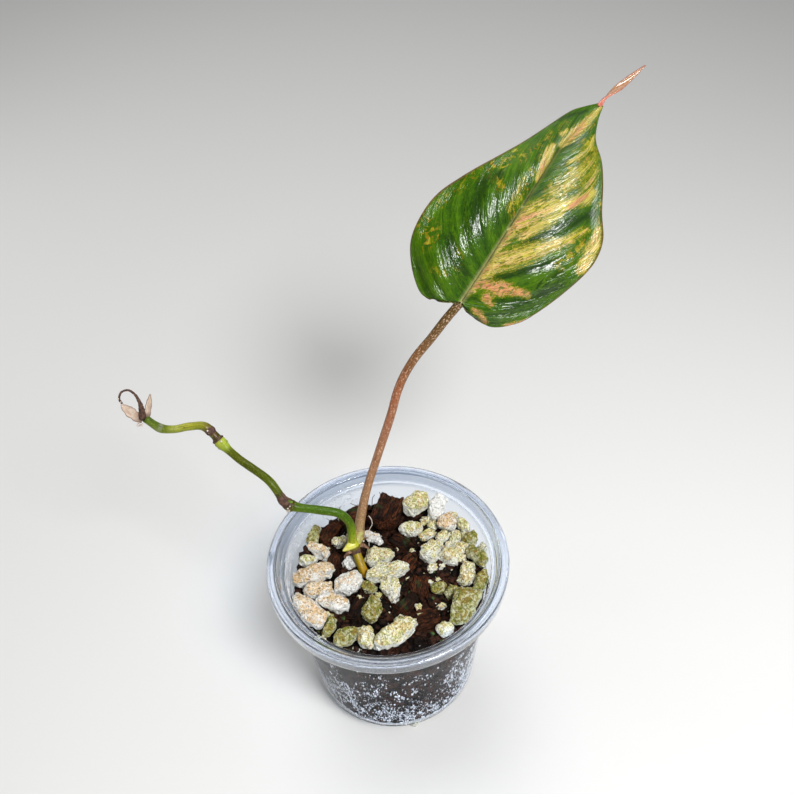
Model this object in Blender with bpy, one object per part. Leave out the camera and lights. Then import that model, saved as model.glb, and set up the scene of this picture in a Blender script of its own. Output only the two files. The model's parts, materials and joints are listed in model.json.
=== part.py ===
"""Potted variegated micans philodendron: a rooted cutting in a clear plastic grow cup.

The origin is the centre of the cup's base, +Z is up and +X is to the right of the leaf's face.
Every solid is one object. Pieces that touch on the real plant stay GAP apart.
"""

import math
import random

import bmesh
import bpy
from mathutils import Matrix, Vector, noise

MM = 0.001
GAP = 0.3

# Cup, in millimetres. It is turned, and the lip is a flange with a skirt.
CUP_HEIGHT = 80.0
CUP_SIDES = 48
RIM_R = 47.5
RIM_INNER_R = 43.5
RIM_ROUND = 0.5
SKIRT_DROP = 4.5
LIP_THICK = 0.9
WALL = 0.9
BASE_FLAT_R = 23.5
CORNER_R = 12.0
CORNER_STEPS = 4
SEAT_Z = 76.4
SEAT_R = 42.1
SEAT_INNER_R = 40.5
STACK_Z = 68.4
STACK_R = 40.0
STACK_INNER_R = 39.2
DRAIN_COUNT = 4
DRAIN_R = 2.2
DRAIN_CIRCLE_R = 29.0
DRAIN_FIRST_DEG = -77.0

# Potting mix, in millimetres.
MIX_TOP = 66.0
MIX_BUMP = 1.2
MIX_BUMP_PER_MM = 0.13
MIX_RING_STEP = 5.0
SINK = 1.0

# Vine: points of its centre line, from the buried end up over the rim to the dry tip.
VINE_POINTS = [
    (-5.0, -3.0, 44.0), (-6.0, -3.0, 52.0), (-7.6, -1.8, 60.0), (-9.6, 1.0, 66.5), (-11.6, 5.0, 70.8),
    (-13.6, 9.6, 75.0), (-13.8, 10.2, 80.5), (-14.2, 11.0, 87.6), (-18.0, 11.8, 92.9), (-26.0, 12.5, 95.0),
    (-34.4, 13.5, 96.4), (-38.9, 15.0, 98.8), (-44.3, 20.0, 105.6), (-55.7, 28.0, 110.1), (-62.4, 33.0, 114.4),
    (-64.9, 35.0, 117.2), (-68.5, 36.7, 120.6), (-74.3, 37.0, 120.7), (-80.0, 35.8, 120.9), (-84.6, 34.2, 123.6),
    (-88.2, 33.0, 130.0),
]
VINE_STEP = 2.2
VINE_SIDES = 10
VINE_R = 1.85
VINE_TIP_R = 1.5
VINE_NODES = [((-13.6, 9.6, 75.0), 0.75), ((-36.5, 14.0, 97.5), 0.6), ((-62.4, 33.0, 114.4), 0.75),
              ((-67.5, 36.3, 120.0), 0.35), ((-84.6, 34.2, 123.6), 0.25)]
VINE_NODE_REACH = 2.6

# Petiole: points of its centre line, from the base node up to the leaf.
PETIOLE_POINTS = [
    (-11.2, 13.3, 77.0), (-10.4, 14.4, 83.0), (-8.3, 16.0, 92.8), (-5.2, 18.5, 103.4), (-1.6, 21.5, 112.9),
    (1.9, 24.5, 122.1), (5.0, 27.5, 130.1), (7.6, 30.5, 137.8), (10.8, 33.0, 144.3), (15.3, 35.5, 150.6),
    (21.2, 38.4, 156.4), (26.6, 41.5, 161.9), (31.9, 44.0, 167.0),
]
PETIOLE_STEP = 4.5
PETIOLE_SIDES = 10
PETIOLE_BASE_R = 2.1
PETIOLE_R = 1.6
PETIOLE_BASE_REACH = 25.0

# Leaf: u runs along the midrib from the notch to the tip, v across it, w out of the upper face.
LEAF_NOTCH = (32.5, 43.5, 168.0)
LEAF_ALONG = (0.625, 0.481, 0.615)
LEAF_FACING = (-0.04, -0.77, 0.64)
LEAF_LENGTH = 84.0
LEAF_LEFT = [(0.0, 0.0), (-0.1, -1.8), (-3.9, -7.0), (-5.9, -11.5), (-4.7, -16.0), (0.9, -22.7), (8.0, -27.7),
             (18.0, -29.5), (27.0, -28.9), (36.0, -25.4), (48.0, -19.3), (58.0, -14.7), (68.0, -10.7),
             (76.0, -7.4), (80.0, -4.5), (84.0, -1.0)]
LEAF_RIGHT = [(0.0, 0.0), (0.0, 1.8), (-1.9, 5.5), (-2.1, 9.5), (-0.9, 14.5), (3.5, 19.4), (9.2, 23.0), (20.0, 27.0),
              (32.0, 29.8), (40.0, 30.0), (47.0, 27.8), (54.0, 22.0), (62.0, 16.4), (68.0, 11.6), (73.0, 5.6),
              (79.0, 2.4), (84.0, 1.0)]
LEAF_LOBE_ROWS = 7
LEAF_ROWS = 15
LEAF_COLUMNS = 5
LEAF_SLOPE = 0.75
LEAF_ARCH = 3.0
LEAF_CROWN = 3.2
LEAF_DROOP = 1.6
LEAF_WAVE = 1.3
LEAF_WAVES = 3.5
LEAF_THICK = 0.75
MIDRIB_THICK = 1.8
DRIP_TIP = [(86.0, 0.1, 0.9, 70.0), (88.5, 0.7, 1.3, 120.0), (92.0, 1.5, 1.5, 165.0), (96.0, 2.6, 1.25, 185.0),
            (100.0, 3.7, 0.8, 195.0), (103.6, 4.7, 0.3, 200.0)]

# Dry tip of the vine: two papery flaps round a withered, curled shoot.
SHEATH_CUP_R = 1.9
SHEATH_CUP_DEPTH = 1.2
SHEATH_THICK = 0.6
SHEATH_FLAPS = [
    [(-90.1, 32.3, 130.4), (-91.3, 31.3, 134.0), (-92.4, 30.5, 137.2), (-93.6, 30.0, 140.2)],
    [(-87.5, 33.2, 131.2), (-86.2, 34.0, 134.2), (-85.4, 34.9, 136.8), (-84.5, 35.8, 139.8)],
]
SHEATH_WIDTHS = [1.2, 3.2, 2.6, 0.6]
SHOOT_POINTS = [
    (-89.0, 32.8, 132.0), (-88.6, 32.9, 134.2), (-88.3, 33.1, 137.4), (-89.2, 34.0, 141.2), (-91.4, 34.6, 143.4),
    (-94.2, 34.2, 142.9), (-95.3, 33.2, 140.6), (-94.6, 32.6, 138.8),
]
SHOOT_R = 0.6
SHOOT_TIP_R = 0.35

# Roots: a crown under the buried stem and the end of each root.
ROOT_CROWN = (-5.0, -3.0, 42.6)
ROOT_CROWN_R = 2.0
ROOT_R = 0.9
ROOT_TIP_R = 0.5
ROOT_COUNT = 5
ROOT_REACH = 19.0
ROOT_DROP = 26.0

WHITE, CREAM, MOSSY = "perlite_white", "perlite_cream", "perlite_mossy"
# Perlite lumps: x, y, length, width, height, turn and rise in degrees, lift over the mix, taper, tint.
LUMPS = [
    (-31.0, -17.5, 19.5, 9.5, 9.0, -38, 0, 0.8, 0.10, WHITE),
    (-21.5, -13.0, 13.0, 7.0, 7.5, -20, 0, 0.5, 0.20, WHITE),
    (-28.0, -7.0, 12.5, 6.5, 7.5, 5, 0, 0.0, 0.10, WHITE),
    (-30.8, -0.2, 18.0, 8.0, 9.0, 17, 0, 0.5, -0.20, WHITE),
    (-32.8, 8.0, 7.5, 5.0, 6.0, 0, 0, 0.5, 0.10, CREAM),
    (-31.0, 20.5, 10.0, 5.5, 6.0, 88, 12, 1.0, 0.20, MOSSY),
    (-28.0, 12.6, 11.5, 5.5, 6.0, -42, 0, 0.5, 0.10, WHITE),
    (-20.0, 16.5, 7.5, 5.0, 6.0, 0, 0, 0.5, 0.20, CREAM),
    (-6.0, 18.0, 9.0, 4.6, 5.0, -42, 0, 0.8, 0.10, WHITE),
    (-3.5, 7.5, 11.5, 7.5, 8.0, 0, 0, 0.5, 0.30, CREAM),
    (-1.0, -0.3, 18.0, 7.0, 7.5, 15, 0, 0.5, -0.10, CREAM),
    (-16.0, 6.5, 5.5, 5.0, 5.0, 90, 0, 0.3, 0.30, WHITE),
    (-16.0, -5.0, 13.0, 8.5, 9.0, 22, 0, 0.0, -0.20, WHITE),
    (-8.0, -6.0, 6.0, 5.0, 5.5, 0, 0, 0.3, 0.20, MOSSY),
    (-6.8, -16.2, 11.0, 7.5, 7.0, 75, 0, 0.3, 0.35, MOSSY),
    (0.8, -8.5, 10.5, 7.0, 6.5, -70, 0, 0.3, 0.50, CREAM),
    (1.5, -28.5, 18.5, 8.0, 8.5, 27, 0, 0.8, 0.10, CREAM),
    (-9.2, -28.2, 9.5, 6.8, 6.0, 90, 0, 0.8, 0.25, CREAM),
    (-17.0, -27.5, 9.5, 7.0, 7.0, 10, 0, 0.5, 0.15, MOSSY),
    (-23.5, -22.5, 10.5, 5.0, 5.0, 70, 0, 0.8, 0.20, MOSSY),
    (20.5, -27.0, 7.0, 5.0, 5.5, 35, 0, 0.8, 0.20, CREAM),
    (28.6, -18.8, 17.5, 10.5, 9.0, 54, 0, 0.8, -0.10, MOSSY),
    (36.5, -7.2, 10.5, 5.5, 6.0, 65, 0, 1.5, 0.10, MOSSY),
    (31.0, -3.5, 10.0, 6.8, 6.5, 75, 0, 0.5, 0.20, CREAM),
    (36.3, 4.8, 14.0, 6.0, 6.0, -50, 0, 1.6, 0.10, MOSSY),
    (29.5, 9.5, 7.5, 5.5, 5.5, 20, 0, 0.3, 0.10, CREAM),
    (34.8, 13.8, 9.0, 6.0, 6.0, 10, 0, 1.6, 0.15, MOSSY),
    (28.5, 16.0, 6.0, 4.8, 5.5, 80, 0, 0.5, 0.10, CREAM),
    (22.5, 16.5, 7.0, 4.6, 5.5, 60, 0, 0.3, 0.20, CREAM),
    (17.5, 8.0, 10.0, 8.0, 8.0, 50, 0, 0.2, 0.15, CREAM),
    (24.5, 5.5, 9.5, 6.0, 6.5, -45, 0, 1.0, 0.15, CREAM),
    (25.5, 21.5, 10.0, 7.5, 7.5, 5, 0, 2.0, 0.10, WHITE),
    (31.5, 21.0, 9.0, 5.6, 6.0, -55, 0, 1.6, 0.10, CREAM),
    (21.5, 29.2, 14.0, 7.5, 7.0, 62, 38, 3.4, -0.15, WHITE),
    (12.8, 30.8, 12.5, 8.5, 9.5, 10, 0, 2.8, 0.10, CREAM),
    (10.0, 20.5, 11.5, 7.0, 7.5, 5, 0, 0.3, 0.25, CREAM),
    (19.5, -8.0, 6.8, 5.4, 5.5, 20, 0, 0.0, 0.10, MOSSY),
    (24.8, -11.2, 7.0, 5.4, 5.8, -20, 0, 0.0, 0.10, MOSSY),
]
# Coco husk chips: x, y, length, width, thickness, turn and tilt in degrees, lift over the mix.
CHIPS = [
    (0.5, 29.0, 19.0, 13.0, 9.0, 70, 12, 4.5),
    (-14.5, 29.5, 12.0, 8.0, 7.0, 20, -14, 1.8),
    (-24.0, 22.0, 13.0, 7.0, 5.0, 62, 10, 1.0),
    (-22.5, 7.0, 9.0, 6.0, 4.5, 75, -8, 0.4),
    (-12.5, -14.0, 14.0, 6.0, 5.0, 65, 6, 0.4),
    (4.5, 16.0, 9.0, 7.0, 5.0, -30, 8, 0.6),
    (6.0, -15.0, 14.0, 5.5, 5.0, 48, -6, 0.5),
    (12.5, -6.0, 12.0, 8.0, 4.5, 80, 5, 0.0),
    (13.5, -21.5, 13.0, 9.0, 4.5, 20, -5, 0.0),
    (8.5, 5.5, 9.0, 6.0, 4.5, 60, 6, 0.0),
]
STONE_ROUGH = 0.36
STONE_ROUGH_SCALE = 2.1
STONE_ROUGH_REACH = 0.28
LUMP_POWER = 2.6
CHIP_POWER = 6.0
WALL_CLEAR_SLOPE = 0.3
SEPARATION_DIRECTIONS = 48


def clear_scene():
    """Remove what the file holds before the model is made."""
    for item in list(bpy.data.objects):
        bpy.data.objects.remove(item, do_unlink=True)


def material(name, colour, roughness, transmission=0.0, alpha=1.0):
    """One Principled material, with its colour as linear RGB."""
    mat = bpy.data.materials.new(name)
    mat.use_nodes = True
    shader = mat.node_tree.nodes["Principled BSDF"]
    shader.inputs["Base Color"].default_value = (*colour, 1.0)
    shader.inputs["Roughness"].default_value = roughness
    shader.inputs["Metallic"].default_value = 0.0
    shader.inputs["Transmission Weight"].default_value = transmission
    shader.inputs["Alpha"].default_value = alpha
    return mat


def add_object(name, bm, mat, sharp_deg=40.0):
    """Turn a bmesh in millimetres into a named, smooth-shaded object of triangles, in metres."""
    bmesh.ops.triangulate(bm, faces=bm.faces)
    bmesh.ops.scale(bm, verts=bm.verts, vec=(MM, MM, MM))
    mesh = bpy.data.meshes.new(name)
    bm.to_mesh(mesh)
    bm.free()
    if mat is not None:
        mesh.materials.append(mat)
    mesh.shade_smooth()
    mesh.set_sharp_from_angle(angle=math.radians(sharp_deg))
    obj = bpy.data.objects.new(name, mesh)
    bpy.context.scene.collection.objects.link(obj)
    return obj


def add_tool(name, bm):
    """An object that only shapes others: it is drawn as wire and not rendered."""
    obj = add_object(name, bm, None)
    obj.hide_render = True
    obj.display_type = "WIRE"
    return obj


def add_boolean(obj, tool, operation, overlapping):
    """Cut the tool from the object, or join it to it."""
    mod = obj.modifiers.new(tool.name, "BOOLEAN")
    mod.operation = operation
    mod.solver = "EXACT"
    mod.use_self = overlapping
    mod.object = tool


def arc(centre_r, centre_z, radius, start_deg, end_deg, steps):
    """Points of a round stretch of a turned profile, both ends included."""
    points = []
    for i in range(steps + 1):
        angle = math.radians(start_deg + (end_deg - start_deg) * i / steps)
        points.append((centre_r + radius * math.cos(angle), centre_z + radius * math.sin(angle)))
    return points


def wall_inner_r(z):
    """Radius of the cup's inner wall at a height, from the top of its base corner to its rim."""
    if z >= SEAT_Z:
        return SEAT_R
    if z >= STACK_Z:
        return STACK_R + (SEAT_INNER_R - STACK_R) * (z - STACK_Z) / (SEAT_Z - STACK_Z)
    low_r = BASE_FLAT_R + CORNER_R - WALL
    return low_r + (STACK_INNER_R - low_r) * max(0.0, z - CORNER_R) / (STACK_Z - CORNER_R)


def turned(profile):
    """A closed solid turned about Z from a profile that starts and ends on the axis."""
    bm = bmesh.new()
    verts = [bm.verts.new((r, 0.0, z)) for r, z in profile]
    edges = [bm.edges.new(pair) for pair in zip(verts, verts[1:])]
    bmesh.ops.spin(bm, geom=verts + edges, cent=(0, 0, 0), axis=(0, 0, 1), angle=2 * math.pi,
                   steps=CUP_SIDES, use_merge=True)
    bmesh.ops.remove_doubles(bm, verts=bm.verts, dist=1e-4)
    bmesh.ops.recalc_face_normals(bm, faces=bm.faces)
    return bm


def cup_profile():
    """The cup's section: outside from the base centre to the rim, then the inside back down."""
    corner_centre = (BASE_FLAT_R, CORNER_R)
    lip_low = CUP_HEIGHT - SKIRT_DROP
    lip_under = CUP_HEIGHT - LIP_THICK
    outside = [(0.0, 0.0)]
    outside += arc(*corner_centre, CORNER_R, -90, 0, CORNER_STEPS)
    outside += [(STACK_INNER_R + WALL, STACK_Z - WALL), (STACK_R + WALL, STACK_Z)]
    outside += [(SEAT_INNER_R + WALL, SEAT_Z - WALL - 0.3), (SEAT_R + WALL, SEAT_Z - WALL)]
    outside += [(RIM_INNER_R + WALL, lip_under), (RIM_R - WALL, lip_under), (RIM_R - WALL, lip_low)]
    outside += [(RIM_R, lip_low), (RIM_R, CUP_HEIGHT - RIM_ROUND), (RIM_R - RIM_ROUND, CUP_HEIGHT)]
    inside = [(RIM_INNER_R + RIM_ROUND, CUP_HEIGHT), (RIM_INNER_R, CUP_HEIGHT - RIM_ROUND)]
    inside += [(SEAT_R, SEAT_Z), (SEAT_INNER_R, SEAT_Z - 0.3), (STACK_R, STACK_Z), (STACK_INNER_R, STACK_Z - 0.5)]
    inside += arc(*corner_centre, CORNER_R - WALL, 0, -90, CORNER_STEPS)
    inside += [(0.0, WALL)]
    return outside + inside


def make_cup():
    """The clear grow cup with its drain holes in the base corner."""
    plastic = material("clear_plastic", (0.78, 0.84, 0.92), 0.12, transmission=0.9, alpha=0.35)
    cup = add_object("pot", turned(cup_profile()), plastic, sharp_deg=35.0)
    drills = bmesh.new()
    depth = 2 * CORNER_R
    for i in range(DRAIN_COUNT):
        angle = math.radians(DRAIN_FIRST_DEG) + 2 * math.pi * i / DRAIN_COUNT
        place = Matrix.Translation((DRAIN_CIRCLE_R * math.cos(angle), DRAIN_CIRCLE_R * math.sin(angle), 0.0))
        bmesh.ops.create_cone(drills, cap_ends=True, segments=12, radius1=DRAIN_R, radius2=DRAIN_R,
                              depth=depth, matrix=place)
    add_boolean(cup, add_tool("drain_drills", drills), "DIFFERENCE", overlapping=False)


def smooth_path(points, step):
    """Points about a step apart on the smooth curve through the given points."""
    knots = [Vector(p) for p in points]
    ends = [2 * knots[0] - knots[1]] + knots + [2 * knots[-1] - knots[-2]]
    dense = []
    for a, b, c, d in zip(ends, ends[1:], ends[2:], ends[3:]):
        for k in range(12):
            t = k / 12
            dense.append(0.5 * (2 * b + (c - a) * t + (2 * a - 5 * b + 4 * c - d) * t ** 2
                                + (3 * b - a - 3 * c + d) * t ** 3))
    dense.append(knots[-1])
    lengths = [0.0]
    for p, q in zip(dense, dense[1:]):
        lengths.append(lengths[-1] + (q - p).length)
    count = max(2, round(lengths[-1] / step))
    path = []
    i = 0
    for k in range(count + 1):
        want = lengths[-1] * k / count
        while i < len(dense) - 2 and lengths[i + 1] < want:
            i += 1
        share = (want - lengths[i]) / (lengths[i + 1] - lengths[i])
        path.append(dense[i].lerp(dense[i + 1], min(1.0, share)))
    return path


def sweep(bm, path, radii, sides):
    """Add a closed round tube with flat ends, whose section doesn't twist along its path."""
    rings = []
    side = None
    for i, point in enumerate(path):
        along = (path[min(i + 1, len(path) - 1)] - path[max(i - 1, 0)]).normalized()
        side = along.orthogonal() if side is None else side - along * side.dot(along)
        side.normalize()
        across = along.cross(side)
        ring = []
        for k in range(sides):
            angle = 2 * math.pi * k / sides
            ring.append(bm.verts.new(point + radii[i] * (side * math.cos(angle) + across * math.sin(angle))))
        rings.append(ring)
    for low, high in zip(rings, rings[1:]):
        for k in range(sides):
            n = (k + 1) % sides
            bm.faces.new((low[k], low[n], high[n], high[k]))
    bm.faces.new(reversed(rings[0]))
    bm.faces.new(rings[-1])


def vine_path_and_radii(grow):
    """The vine's centre line and its radius along it, swollen at the nodes, or grown by a clearance."""
    path = smooth_path(VINE_POINTS, VINE_STEP)
    radii = []
    for i, point in enumerate(path):
        share = i / (len(path) - 1)
        radius = VINE_R + (VINE_TIP_R - VINE_R) * share
        for centre, swell in VINE_NODES:
            radius += swell * math.exp(-((point - Vector(centre)).length / VINE_NODE_REACH) ** 2)
        radii.append(radius + grow)
    return path, radii


def make_vine():
    """The vine, from its buried stem to the tip."""
    bm = bmesh.new()
    path, radii = vine_path_and_radii(0.0)
    sweep(bm, path, radii, VINE_SIDES)
    add_object("vine", bm, material("vine_green", (0.10, 0.20, 0.02), 0.4))


def petiole_path_and_radii():
    """The petiole's centre line and its radius, wider towards its base."""
    path = smooth_path(PETIOLE_POINTS, PETIOLE_STEP)
    radii = []
    for i in range(len(path)):
        length = i * PETIOLE_STEP
        radii.append(PETIOLE_R + (PETIOLE_BASE_R - PETIOLE_R) * max(0.0, 1.0 - length / PETIOLE_BASE_REACH))
    return path, radii


def make_petiole():
    """The long leaf stalk."""
    bm = bmesh.new()
    sweep(bm, *petiole_path_and_radii(), PETIOLE_SIDES)
    add_object("petiole", bm, material("petiole_brown", (0.28, 0.11, 0.04), 0.5))


def root_paths():
    """Centre lines of the roots, which spread from the crown and turn down."""
    crown = Vector(ROOT_CROWN)
    paths = []
    for i in range(ROOT_COUNT):
        angle = 2 * math.pi * (i + 0.3) / ROOT_COUNT
        out = Vector((math.cos(angle), math.sin(angle), 0.0))
        swirl = Vector((-out.y, out.x, 0.0))
        reach = ROOT_REACH * (1.0 - 0.12 * (i % 3))
        drop = ROOT_DROP * (1.0 - 0.15 * ((i + 1) % 3))
        points = [crown, crown + out * reach * 0.3 + Vector((0, 0, -0.12 * drop)),
                  crown + out * reach * 0.7 + swirl * 3.0 + Vector((0, 0, -0.42 * drop)),
                  crown + out * reach + swirl * 2.0 + Vector((0, 0, -drop))]
        paths.append(smooth_path(points, 4.0))
    return paths


def add_root_strands(bm, grow):
    """Add every root as a tapering tube, grown by a clearance."""
    for path in root_paths():
        last = len(path) - 1
        radii = [ROOT_R + (ROOT_TIP_R - ROOT_R) * i / last + grow for i in range(len(path))]
        if grow > 0.0:
            path = path[:-1] + [path[-1] + (path[-1] - path[-2]).normalized() * grow]
        sweep(bm, path, radii, 6)


def make_roots():
    """The root crown and its roots, one body."""
    bm = bmesh.new()
    place = Matrix.Translation(ROOT_CROWN) @ Matrix.Diagonal((1.0, 1.0, 0.5, 1.0))
    bmesh.ops.create_icosphere(bm, subdivisions=2, radius=ROOT_CROWN_R, matrix=place)
    roots = add_object("roots", bm, material("root_tan", (0.45, 0.33, 0.2), 0.7))
    strands = bmesh.new()
    add_root_strands(strands, 0.0)
    add_boolean(roots, add_tool("root_strands", strands), "UNION", overlapping=True)


class Leaf:
    """The leaf's own axes and the shape of its upper face."""

    def __init__(self):
        self.notch = Vector(LEAF_NOTCH)
        self.along = Vector(LEAF_ALONG).normalized()
        facing = Vector(LEAF_FACING)
        self.facing = (facing - self.along * facing.dot(self.along)).normalized()
        self.across = self.along.cross(self.facing)

    def point(self, u, v, w):
        """A point from its place along, across and out of the blade."""
        return self.notch + self.along * u + self.across * v + self.facing * w

    def rise(self, u, v, share, turn):
        """Height of the upper face: arched midrib, crowned halves, waved and drooping edge."""
        arch = LEAF_ARCH * math.sin(math.pi * min(1.0, max(0.0, u / LEAF_LENGTH)))
        width = min(1.0, abs(v) / (share * 30.0)) if share > 0 else 0.0
        crown = LEAF_CROWN * math.sin(math.pi * min(1.0, share * 1.15)) * width
        wave = LEAF_WAVE * share ** 3 * math.sin(2 * math.pi * LEAF_WAVES * turn) * width
        return arch + crown - LEAF_DROOP * share ** 2 * width + wave


def edge_stations(outline):
    """Places on one side's outline, each with the midrib point that its row starts from."""
    flat = smooth_path([(u, v, 0.0) for u, v in outline], 0.5)
    feet = [max(0.0, p.x - LEAF_SLOPE * abs(p.y)) for p in flat]
    first = next(i for i, foot in enumerate(feet) if foot > 0.0)
    stations = []
    for k in range(LEAF_LOBE_ROWS):
        i = round((first - 1) * (k + 1) / LEAF_LOBE_ROWS)
        stations.append((flat[i], 0.0, i / len(flat)))
    for k in range(1, LEAF_ROWS + 1):
        want = LEAF_LENGTH * k / LEAF_ROWS
        i = next((i for i in range(first, len(flat)) if feet[i] >= want - 1.5), len(flat) - 1)
        stations.append((flat[i], want, i / len(flat)))
    stations[-1] = (flat[-1], LEAF_LENGTH, 1.0)
    return stations


def leaf_half(bm, leaf, outline, phase, midrib, notch):
    """Add one half of the blade's upper face, and return its last row."""
    rows = []
    for edge, foot, turn in edge_stations(outline):
        start = notch if foot == 0.0 else midrib[round(foot / LEAF_LENGTH * LEAF_ROWS)]
        row = [start]
        for j in range(1, LEAF_COLUMNS + 1):
            share = j / LEAF_COLUMNS
            u = foot + (edge.x - foot) * share - 0.18 * abs(edge.y) * share * (1 - share)
            v = edge.y * share
            row.append(bm.verts.new(leaf.point(u, v, leaf.rise(u, v, share, turn + phase))))
        rows.append(row)
    for low, high in zip(rows, rows[1:]):
        for j in range(LEAF_COLUMNS):
            corners = [low[j], low[j + 1], high[j + 1], high[j]]
            if corners[0] is corners[3]:
                corners.pop()
            bm.faces.new(corners)
    return rows[-1]


def make_leaf():
    """The heart-shaped blade, its midrib and its twisted drip tip, one body."""
    leaf = Leaf()
    bm = bmesh.new()
    notch = bm.verts.new(leaf.point(0.0, 0.0, 0.0))
    midrib = {0: notch}
    for k in range(1, LEAF_ROWS + 1):
        u = LEAF_LENGTH * k / LEAF_ROWS
        midrib[k] = bm.verts.new(leaf.point(u, 0.0, leaf.rise(u, 0.0, 0.0, 0.0)))
    left = leaf_half(bm, leaf, LEAF_LEFT, 0.0, midrib, notch)
    right = leaf_half(bm, leaf, LEAF_RIGHT, 0.45, midrib, notch)
    strip = list(reversed(left)) + right[1:]
    tip_rib = []
    for u, v, half, twist in DRIP_TIP:
        angle = math.radians(twist)
        row = []
        for k in range(len(strip)):
            off = half * (2 * k / (len(strip) - 1) - 1)
            w = leaf.rise(LEAF_LENGTH, 0.0, 0.0, 0.0) - off * math.sin(angle)
            row.append(bm.verts.new(leaf.point(u, v + off * math.cos(angle), w)))
        for k in range(len(strip) - 1):
            bm.faces.new((strip[k], strip[k + 1], row[k + 1], row[k]))
        tip_rib.append(row[LEAF_COLUMNS])
        strip = row
    bmesh.ops.recalc_face_normals(bm, faces=bm.faces)
    bmesh.ops.triangulate(bm, faces=bm.faces)
    bm.faces.ensure_lookup_table()
    if bm.faces[0].normal.dot(leaf.facing) < 0:
        bmesh.ops.reverse_faces(bm, faces=bm.faces)
    bm.verts.index_update()
    rib = [v.index for k, v in midrib.items() if k < LEAF_ROWS - 1]
    obj = add_object("leaf", bm, material("leaf_green", (0.04, 0.14, 0.02), 0.3), sharp_deg=60.0)
    group = obj.vertex_groups.new(name="midrib")
    group.add(rib, 1.0, "REPLACE")
    wall = obj.modifiers.new("thickness", "SOLIDIFY")
    wall.thickness = MIDRIB_THICK * MM
    wall.offset = -1.0
    wall.vertex_group = group.name
    wall.thickness_vertex_group = LEAF_THICK / MIDRIB_THICK


def make_flap(bm, points, widths):
    """Add one pointed papery flap, bent along its points."""
    path = smooth_path(points, 1.6)
    facing = Vector((0.35, -0.75, 0.55))
    rows = []
    for i, point in enumerate(path):
        place = (len(widths) - 1) * i / (len(path) - 1)
        k = min(int(place), len(widths) - 2)
        width = widths[k] + (widths[k + 1] - widths[k]) * (place - k)
        along = (path[min(i + 1, len(path) - 1)] - path[max(i - 1, 0)]).normalized()
        across = along.cross(facing).normalized() * width / 2
        out = across.cross(along).normalized() * SHEATH_THICK / 2
        rows.append([bm.verts.new(point + a + b) for a, b in
                     ((-across, -out), (across, -out), (across, out), (-across, out))])
    for low, high in zip(rows, rows[1:]):
        for k in range(4):
            n = (k + 1) % 4
            bm.faces.new((low[k], low[n], high[n], high[k]))
    bm.faces.new(reversed(rows[0]))
    bm.faces.new(rows[-1])


def make_dry_tip():
    """The papery sheath on the vine's end and the withered shoot that curls out of it."""
    end = Vector(VINE_POINTS[-1])
    along = (end - Vector(VINE_POINTS[-2])).normalized()
    cup = bmesh.new()
    low = end + along * GAP
    sweep(cup, [low, low + along * SHEATH_CUP_DEPTH], [SHEATH_CUP_R] * 2, 10)
    sheath = add_object("tip_sheath", cup, material("dry_paper", (0.6, 0.42, 0.32), 0.8))
    flaps = bmesh.new()
    for points in SHEATH_FLAPS:
        make_flap(flaps, points, SHEATH_WIDTHS)
    bmesh.ops.recalc_face_normals(flaps, faces=flaps.faces)
    add_boolean(sheath, add_tool("sheath_flaps", flaps), "UNION", overlapping=True)
    shoot = bmesh.new()
    path = smooth_path(SHOOT_POINTS, 1.6)
    last = len(path) - 1
    sweep(shoot, path, [SHOOT_R + (SHOOT_TIP_R - SHOOT_R) * i / last for i in range(last + 1)], 6)
    add_object("withered_shoot", shoot, material("dry_brown", (0.06, 0.03, 0.02), 0.8))


class Stone:
    """A lump or a chip: a rough star-shaped body that neighbours, stems and the cup's wall flatten."""

    def __init__(self, centre, half, turn, power, taper, seed):
        self.centre = Vector(centre)
        self.half = Vector(half)
        self.turn = turn
        self.power = power
        self.taper = taper
        self.seed = seed
        self.planes = []

    def reach(self, direction):
        """How far the body goes from its centre in a direction, with its roughness."""
        local = self.turn.transposed() @ direction
        dual = self.power / (self.power - 1.0)
        plain = sum((abs(local[k]) * self.half[k]) ** dual for k in range(3)) ** (1.0 / dual)
        return plain * (1.0 + STONE_ROUGH_REACH)

    def surface(self, direction, grow):
        """The surface point in a direction, in world axes from the centre."""
        rough = 1.0 + STONE_ROUGH * noise.noise(direction * STONE_ROUGH_SCALE + Vector((self.seed, 0.0, 0.0)))
        local = direction * rough / sum(abs(c) ** self.power for c in direction) ** (1.0 / self.power)
        local = Vector([local[k] * self.half[k] for k in range(3)])
        local.y *= 1.0 - self.taper * local.x / self.half.x
        place = self.turn @ local
        limit = 1.0
        for normal, distance in self.planes:
            reach = place.dot(normal)
            if reach > distance:
                limit = min(limit, distance / reach)
        while limit > 0.1 and self.past_wall(place * limit):
            limit -= 0.02
        return place * limit + place.normalized() * grow

    def past_wall(self, place):
        """Whether a point is nearer to the cup's wall than the clearance."""
        spot = self.centre + place
        slope = STACK_INNER_R + WALL_CLEAR_SLOPE * max(0.0, spot.z - STACK_Z)
        wall = min(wall_inner_r(spot.z), slope, SEAT_INNER_R)
        return math.hypot(spot.x, spot.y) > (wall - GAP) * math.cos(math.pi / CUP_SIDES)

    def add_to(self, bm, grow=0.0):
        """Add the body to a bmesh, grown by a clearance."""
        ball = bmesh.new()
        if self.power == CHIP_POWER:
            bmesh.ops.create_cube(ball, size=2.0)
            bmesh.ops.subdivide_edges(ball, edges=ball.edges, cuts=1, use_grid_fill=True)
        else:
            bmesh.ops.create_icosphere(ball, subdivisions=2, radius=1.0)
        ball.verts.index_update()
        placed = [bm.verts.new(self.centre + self.surface(v.co.normalized(), grow)) for v in ball.verts]
        for face in ball.faces:
            bm.faces.new([placed[v.index] for v in face.verts])
        ball.free()


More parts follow.
